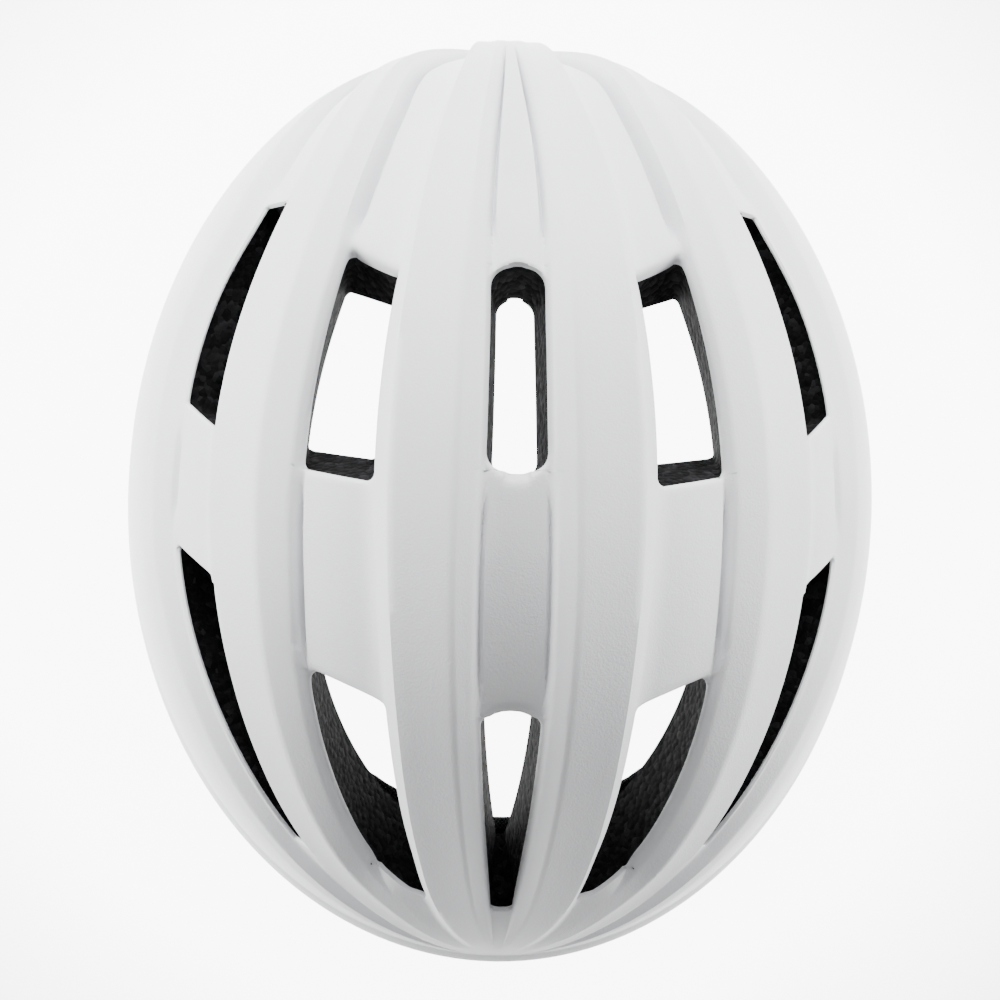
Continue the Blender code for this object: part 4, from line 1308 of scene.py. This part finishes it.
@dataclass
class StrapSet:
    """Six webbing straps: front and rear on each side, and both chin straps.

    The leads are how far a strap runs straight out of the piece at each of its ends.
    """

    dome: Dome
    width: float = 12 * MM
    wall: float = 1.1 * MM
    edge_radius: float = 0.3 * MM
    gap: float = 0.3 * MM
    anchor_y: float = 55 * MM
    anchor_drop: float = 5.7 * MM
    anchor_lead: float = 14 * MM
    divider: tuple[float, float, float] = (71 * MM, -4 * MM, -100 * MM)
    divider_top: float = 9 * MM
    divider_edge: float = 8 * MM
    divider_bottom: float = 11 * MM
    divider_lead: float = 22 * MM
    lean: float = 0.2
    buckle: tuple[float, float, float] = (0.0, -38 * MM, -148 * MM)
    socket_reach: float = 26.3 * MM
    plug_reach: float = 14.6 * MM
    chin_lead: float = 26 * MM
    cup: float = 0.35 * MM
    ripple: float = 0.25 * MM

    def build(self) -> None:
        """Make all straps."""
        finish = WebFinish().material()
        for side, sign in SIDES:
            for name, path in self._paths(sign).items():
                node = f"{name}_strap_{side}"
                ribbon = self._ribbon(f"{node}_web", path)
                if node == "chin_strap_right":
                    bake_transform(ribbon, "helmet", "plug", path.points[0].tolist(), path.points[3].tolist())
                dress(ribbon, finish, "helmet", "webbing", node)
                LOG.info("%s is %.0f mm long", node, path.length() / MM)

    def _anchor(self, plan_y: float, sign: int) -> tuple[Point, Point]:
        """Where a side strap leaves its anchor under the rim.

        Args:
            plan_y: the anchor's place along the helmet.
            sign: 1 on the wearer's left, -1 on the right.

        Returns:
            The point, and the way the strap's face looks there.
        """
        theta = np.array([self.dome.theta_at(plan_y, math.pi / 2)])
        side = np.array([float(sign)])
        edge, outward = self.dome.surface(theta, side * math.pi / 2)
        fall = self.dome.rim(theta, side, 0.0, 1.0, 0.0) - edge
        middle = (edge - outward * 1 * MM + self.dome.cavity(theta, side * math.pi / 2)) / 2 + fall
        return (middle - self.dome.up * self.anchor_drop)[0], outward[0]

    def _paths(self, sign: int) -> dict[str, StrapPath]:
        """Lines of one side's three straps.

        Args:
            sign: 1 on the wearer's left, -1 on the right.

        Returns:
            The lines by the straps' names.
        """
        place = np.array((self.divider[0] * sign, *self.divider[1:]))
        face = unit(np.array((sign, 0.0, -self.lean)))
        ahead = np.array((0.0, -1.0, 0.0))
        up = unit(np.array((self.lean * sign, 0.0, 1.0)))
        paths = {}
        for name, turn in (("front", 1), ("rear", -1)):
            start, outward = self._anchor(-turn * self.anchor_y, sign)
            way = unit(np.array(((start - place) @ ahead, (start - place) @ up)))
            edge = np.array((way[1], -way[0])) * turn * self.divider_edge
            lead = ahead * way[0] + up * way[1]
            end = place + ahead * edge[0] + up * (self.divider_top + edge[1]) + lead * self.gap
            first_lead = self.dome.up * self.anchor_lead
            points = (start, start - first_lead, end + lead * self.divider_lead, end)
            paths[name] = StrapPath(points, (outward, face))
        start = place - up * (self.divider_bottom + self.gap)
        out = self.dome.across * sign
        end = np.array(self.buckle) + out * (self.socket_reach if sign > 0 else self.plug_reach)
        points = (start, start - up * self.chin_lead, end + out * self.chin_lead, end)
        paths["chin"] = StrapPath(points, (face, np.array((0.0, 0.0, -1.0))))
        return paths

    def _ribbon(self, name: str, path: StrapPath) -> bpy.types.Object:
        """Bend a flat grid along a path, thicken it and round its edges; its UV map runs in metres.

        Args:
            name: the strap's name.
            path: its line.

        Returns:
            The strap, without its finish.
        """
        bpy.ops.mesh.primitive_grid_add(x_subdivisions=12, y_subdivisions=90, size=1.0)
        ribbon = bpy.context.object
        ribbon.name = name
        mesh = ribbon.data
        flat = np.array([corner.co for corner in mesh.vertices])[:, :2] + 0.5
        length = path.length()
        layer = mesh.uv_layers.active or mesh.uv_layers.new(name="along")
        for loop in mesh.loops:
            u, v = flat[loop.vertex_index]
            layer.data[loop.index].uv = (u, v * length)
        for vertex, (u, v) in zip(mesh.vertices, flat):
            spot, across, face = path.at(v)
            ease = math.sin(math.pi * v)
            bend = self.cup * ease * (2 * u - 1) ** 2 + self.ripple * ease * math.sin(9 * v + 2 * u)
            vertex.co = spot + across * ((u - 0.5) * self.width) + face * bend
        thick = ribbon.modifiers.new("wall", "SOLIDIFY")
        thick.thickness = self.wall
        thick.offset = 0.0
        edges = ribbon.modifiers.new("edges", "BEVEL")
        edges.width = self.edge_radius
        edges.segments = 2
        apply_modifiers(ribbon)
        bpy.ops.object.shade_smooth_by_angle(angle=math.radians(50))
        return ribbon


@dataclass
class Hardware:
    """Finishes of the moulded pieces that keep their constructed form."""

    black: PlasticFinish = PlasticFinish("black_plastic", (0.005, 0.005, 0.0055), (0.01, 0.01, 0.011), 0.42)
    grey: PlasticFinish = PlasticFinish("grey_plastic", (0.045, 0.046, 0.049), (0.07, 0.071, 0.075), 0.46)

    def build(self) -> None:
        """Give each piece its finish."""
        singles = ("rear_cradle", "dial_housing", "height_strip", "buckle_socket", "buckle_plug")
        self._paint(self.black.material(), *singles, *self._paired("rack_band", "strap_divider"))
        singles = ("fit_dial", "dial_cap", "pinion", "height_socket_plate")
        pairs = ("temple_pin", "temple_sleeve", "front_anchor", "rear_anchor", "divider_lever")
        self._paint(self.grey.material(), *singles, *self._paired(*pairs))
        patches = ("brow", "crown_left", "crown_right", "side_left", "side_right")
        self._paint(HookFinish().material(), *(f"{name}_hook_patch" for name in patches))
        self._paint(KnitFinish().material(), "strap_keeper")

    def _paired(self, *names: str) -> list[str]:
        """Both sides' names of pieces that come in pairs."""
        return [f"{name}_{side}" for side, _ in SIDES for name in names]

    def _paint(self, material: bpy.types.Material, *names: str) -> None:
        """Put one material on several pieces."""
        for name in names:
            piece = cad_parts[name]
            piece.data.materials.clear()
            piece.data.materials.append(material)
            LOG.info("%s is %s", name, material.name)


@dataclass(frozen=True)
class SoftLight:
    """A rectangular light that faces the helmet; its power is in watts."""

    name: str
    place: tuple[float, float, float]
    size: tuple[float, float]
    power: float

    def add(self) -> None:
        """Add the light to the scene."""
        bpy.ops.object.light_add(type="AREA", location=self.place)
        light = bpy.context.object
        light.name = self.name
        light.data.shape = "RECTANGLE"
        light.data.size, light.data.size_y = self.size
        light.data.energy = self.power
        light.rotation_euler = (-Vector(self.place)).to_track_quat("-Z", "Y").to_euler()


@dataclass
class Studio:
    """White floor, soft lights that are strongest from the rear and both sides, and a camera straight above.

    The floor glows round the helmet and lights its flanks from below; the glow fades between two radii.
    """

    floor_height: float
    floor_size: float = 6.0
    glow: float = 7.5
    glow_radii: tuple[float, float] = (0.225, 0.33)
    lights: tuple[SoftLight, ...] = (
        SoftLight("rear_light", (0.0, 1.3, 0.55), (1.5, 0.5), 62.0),
        SoftLight("left_light", (1.3, 0.2, 0.22), (1.4, 0.4), 33.0),
        SoftLight("right_light", (-1.3, 0.2, 0.22), (1.4, 0.4), 42.0),
        SoftLight("front_light", (0.0, -0.9, 1.3), (1.2, 0.8), 6.0))
    surroundings: float = 0.12
    distance: float = 1.60
    across: float = 0.294
    slant: float = math.radians(2.5)
    turn: float = math.radians(1.1)
    focus_height: float = -16 * MM
    sensor: float = 36.0

    def build(self) -> None:
        """Add everything that is not part of the helmet."""
        self._add_floor()
        for light in self.lights:
            light.add()
        self._set_world()
        self._add_camera()

    def _add_floor(self) -> None:
        """Pale floor with a painted glow: it glows brightest under the helmet, which keeps it white where the
        helmet's shadow would fall.
        """
        bpy.ops.mesh.primitive_plane_add(size=self.floor_size, location=(0.0, 0.0, 0.0))
        floor = bpy.context.object
        floor.name = "floor"
        for corner in floor.data.vertices:
            corner.co.z = self.floor_height
        shader = Shader("floor_white")
        away = shader.node("ShaderNodeVectorMath", {"operation": "LENGTH"}, {0: shader.place()}, "Value")
        near, far = self.glow_radii
        fade = shader.ramp(away, (near, (1.0, 1.0, 1.0)), (far, (0.05, 0.05, 0.05)))
        shader.set(Base_Color=(0.9, 0.9, 0.9, 1.0), Roughness=0.9, Specular_IOR_Level=0.0)
        # painted glow: the floor glows like a lamp under the helmet and fades beyond the glow radii, so the
        # helmet casts no shadow on it
        shader.set(Emission_Color=fade, Emission_Strength=self.glow)
        floor.data.materials.append(shader.material)

    def _set_world(self) -> None:
        """Even pale surroundings."""
        world = bpy.data.worlds.new("studio")
        bpy.context.scene.world = world
        world.use_nodes = True
        background = world.node_tree.nodes["Background"]
        background.inputs["Color"].default_value = (1.0, 1.0, 1.0, 1.0)
        background.inputs["Strength"].default_value = self.surroundings

    def _add_camera(self) -> None:
        """Camera a little to the wearer's right of straight above."""
        aim = Vector((0.0, 0.0, self.focus_height))
        place = aim + Vector((-math.tan(self.slant), 0.0, 1.0)) * self.distance
        bpy.ops.object.camera_add(location=place)
        camera = bpy.context.object
        camera.data.sensor_width = self.sensor
        camera.data.lens = self.sensor * self.distance / self.across
        back = (place - aim).normalized()
        up = Vector((math.sin(-self.turn), math.cos(self.turn), 0.0))
        right = up.cross(back).normalized()
        up = back.cross(right)
        camera.rotation_euler = Matrix((right, up, back)).transposed().to_euler()
        bpy.context.scene.camera = camera


def main() -> None:
    """Build the helmet's looks and the studio."""
    logging.basicConfig(level=logging.INFO, format="%(message)s")
    grid = VentGrid(Dome())
    grid.lay_skin()
    dress(OuterShell(grid).build(), ShellFinish().material(), "helmet", "shell_white", "outer_shell")
    dress(FoamLiner(grid).build(), FoamFinish().material(), "helmet", "bead_foam", "foam_liner")
    PadSet(grid.dome).build()
    StrapSet(grid.dome).build()
    Hardware().build()
    Studio(CAD_BOX[0][2] - 1 * MM).build()


if __name__ == "__main__":
    main()
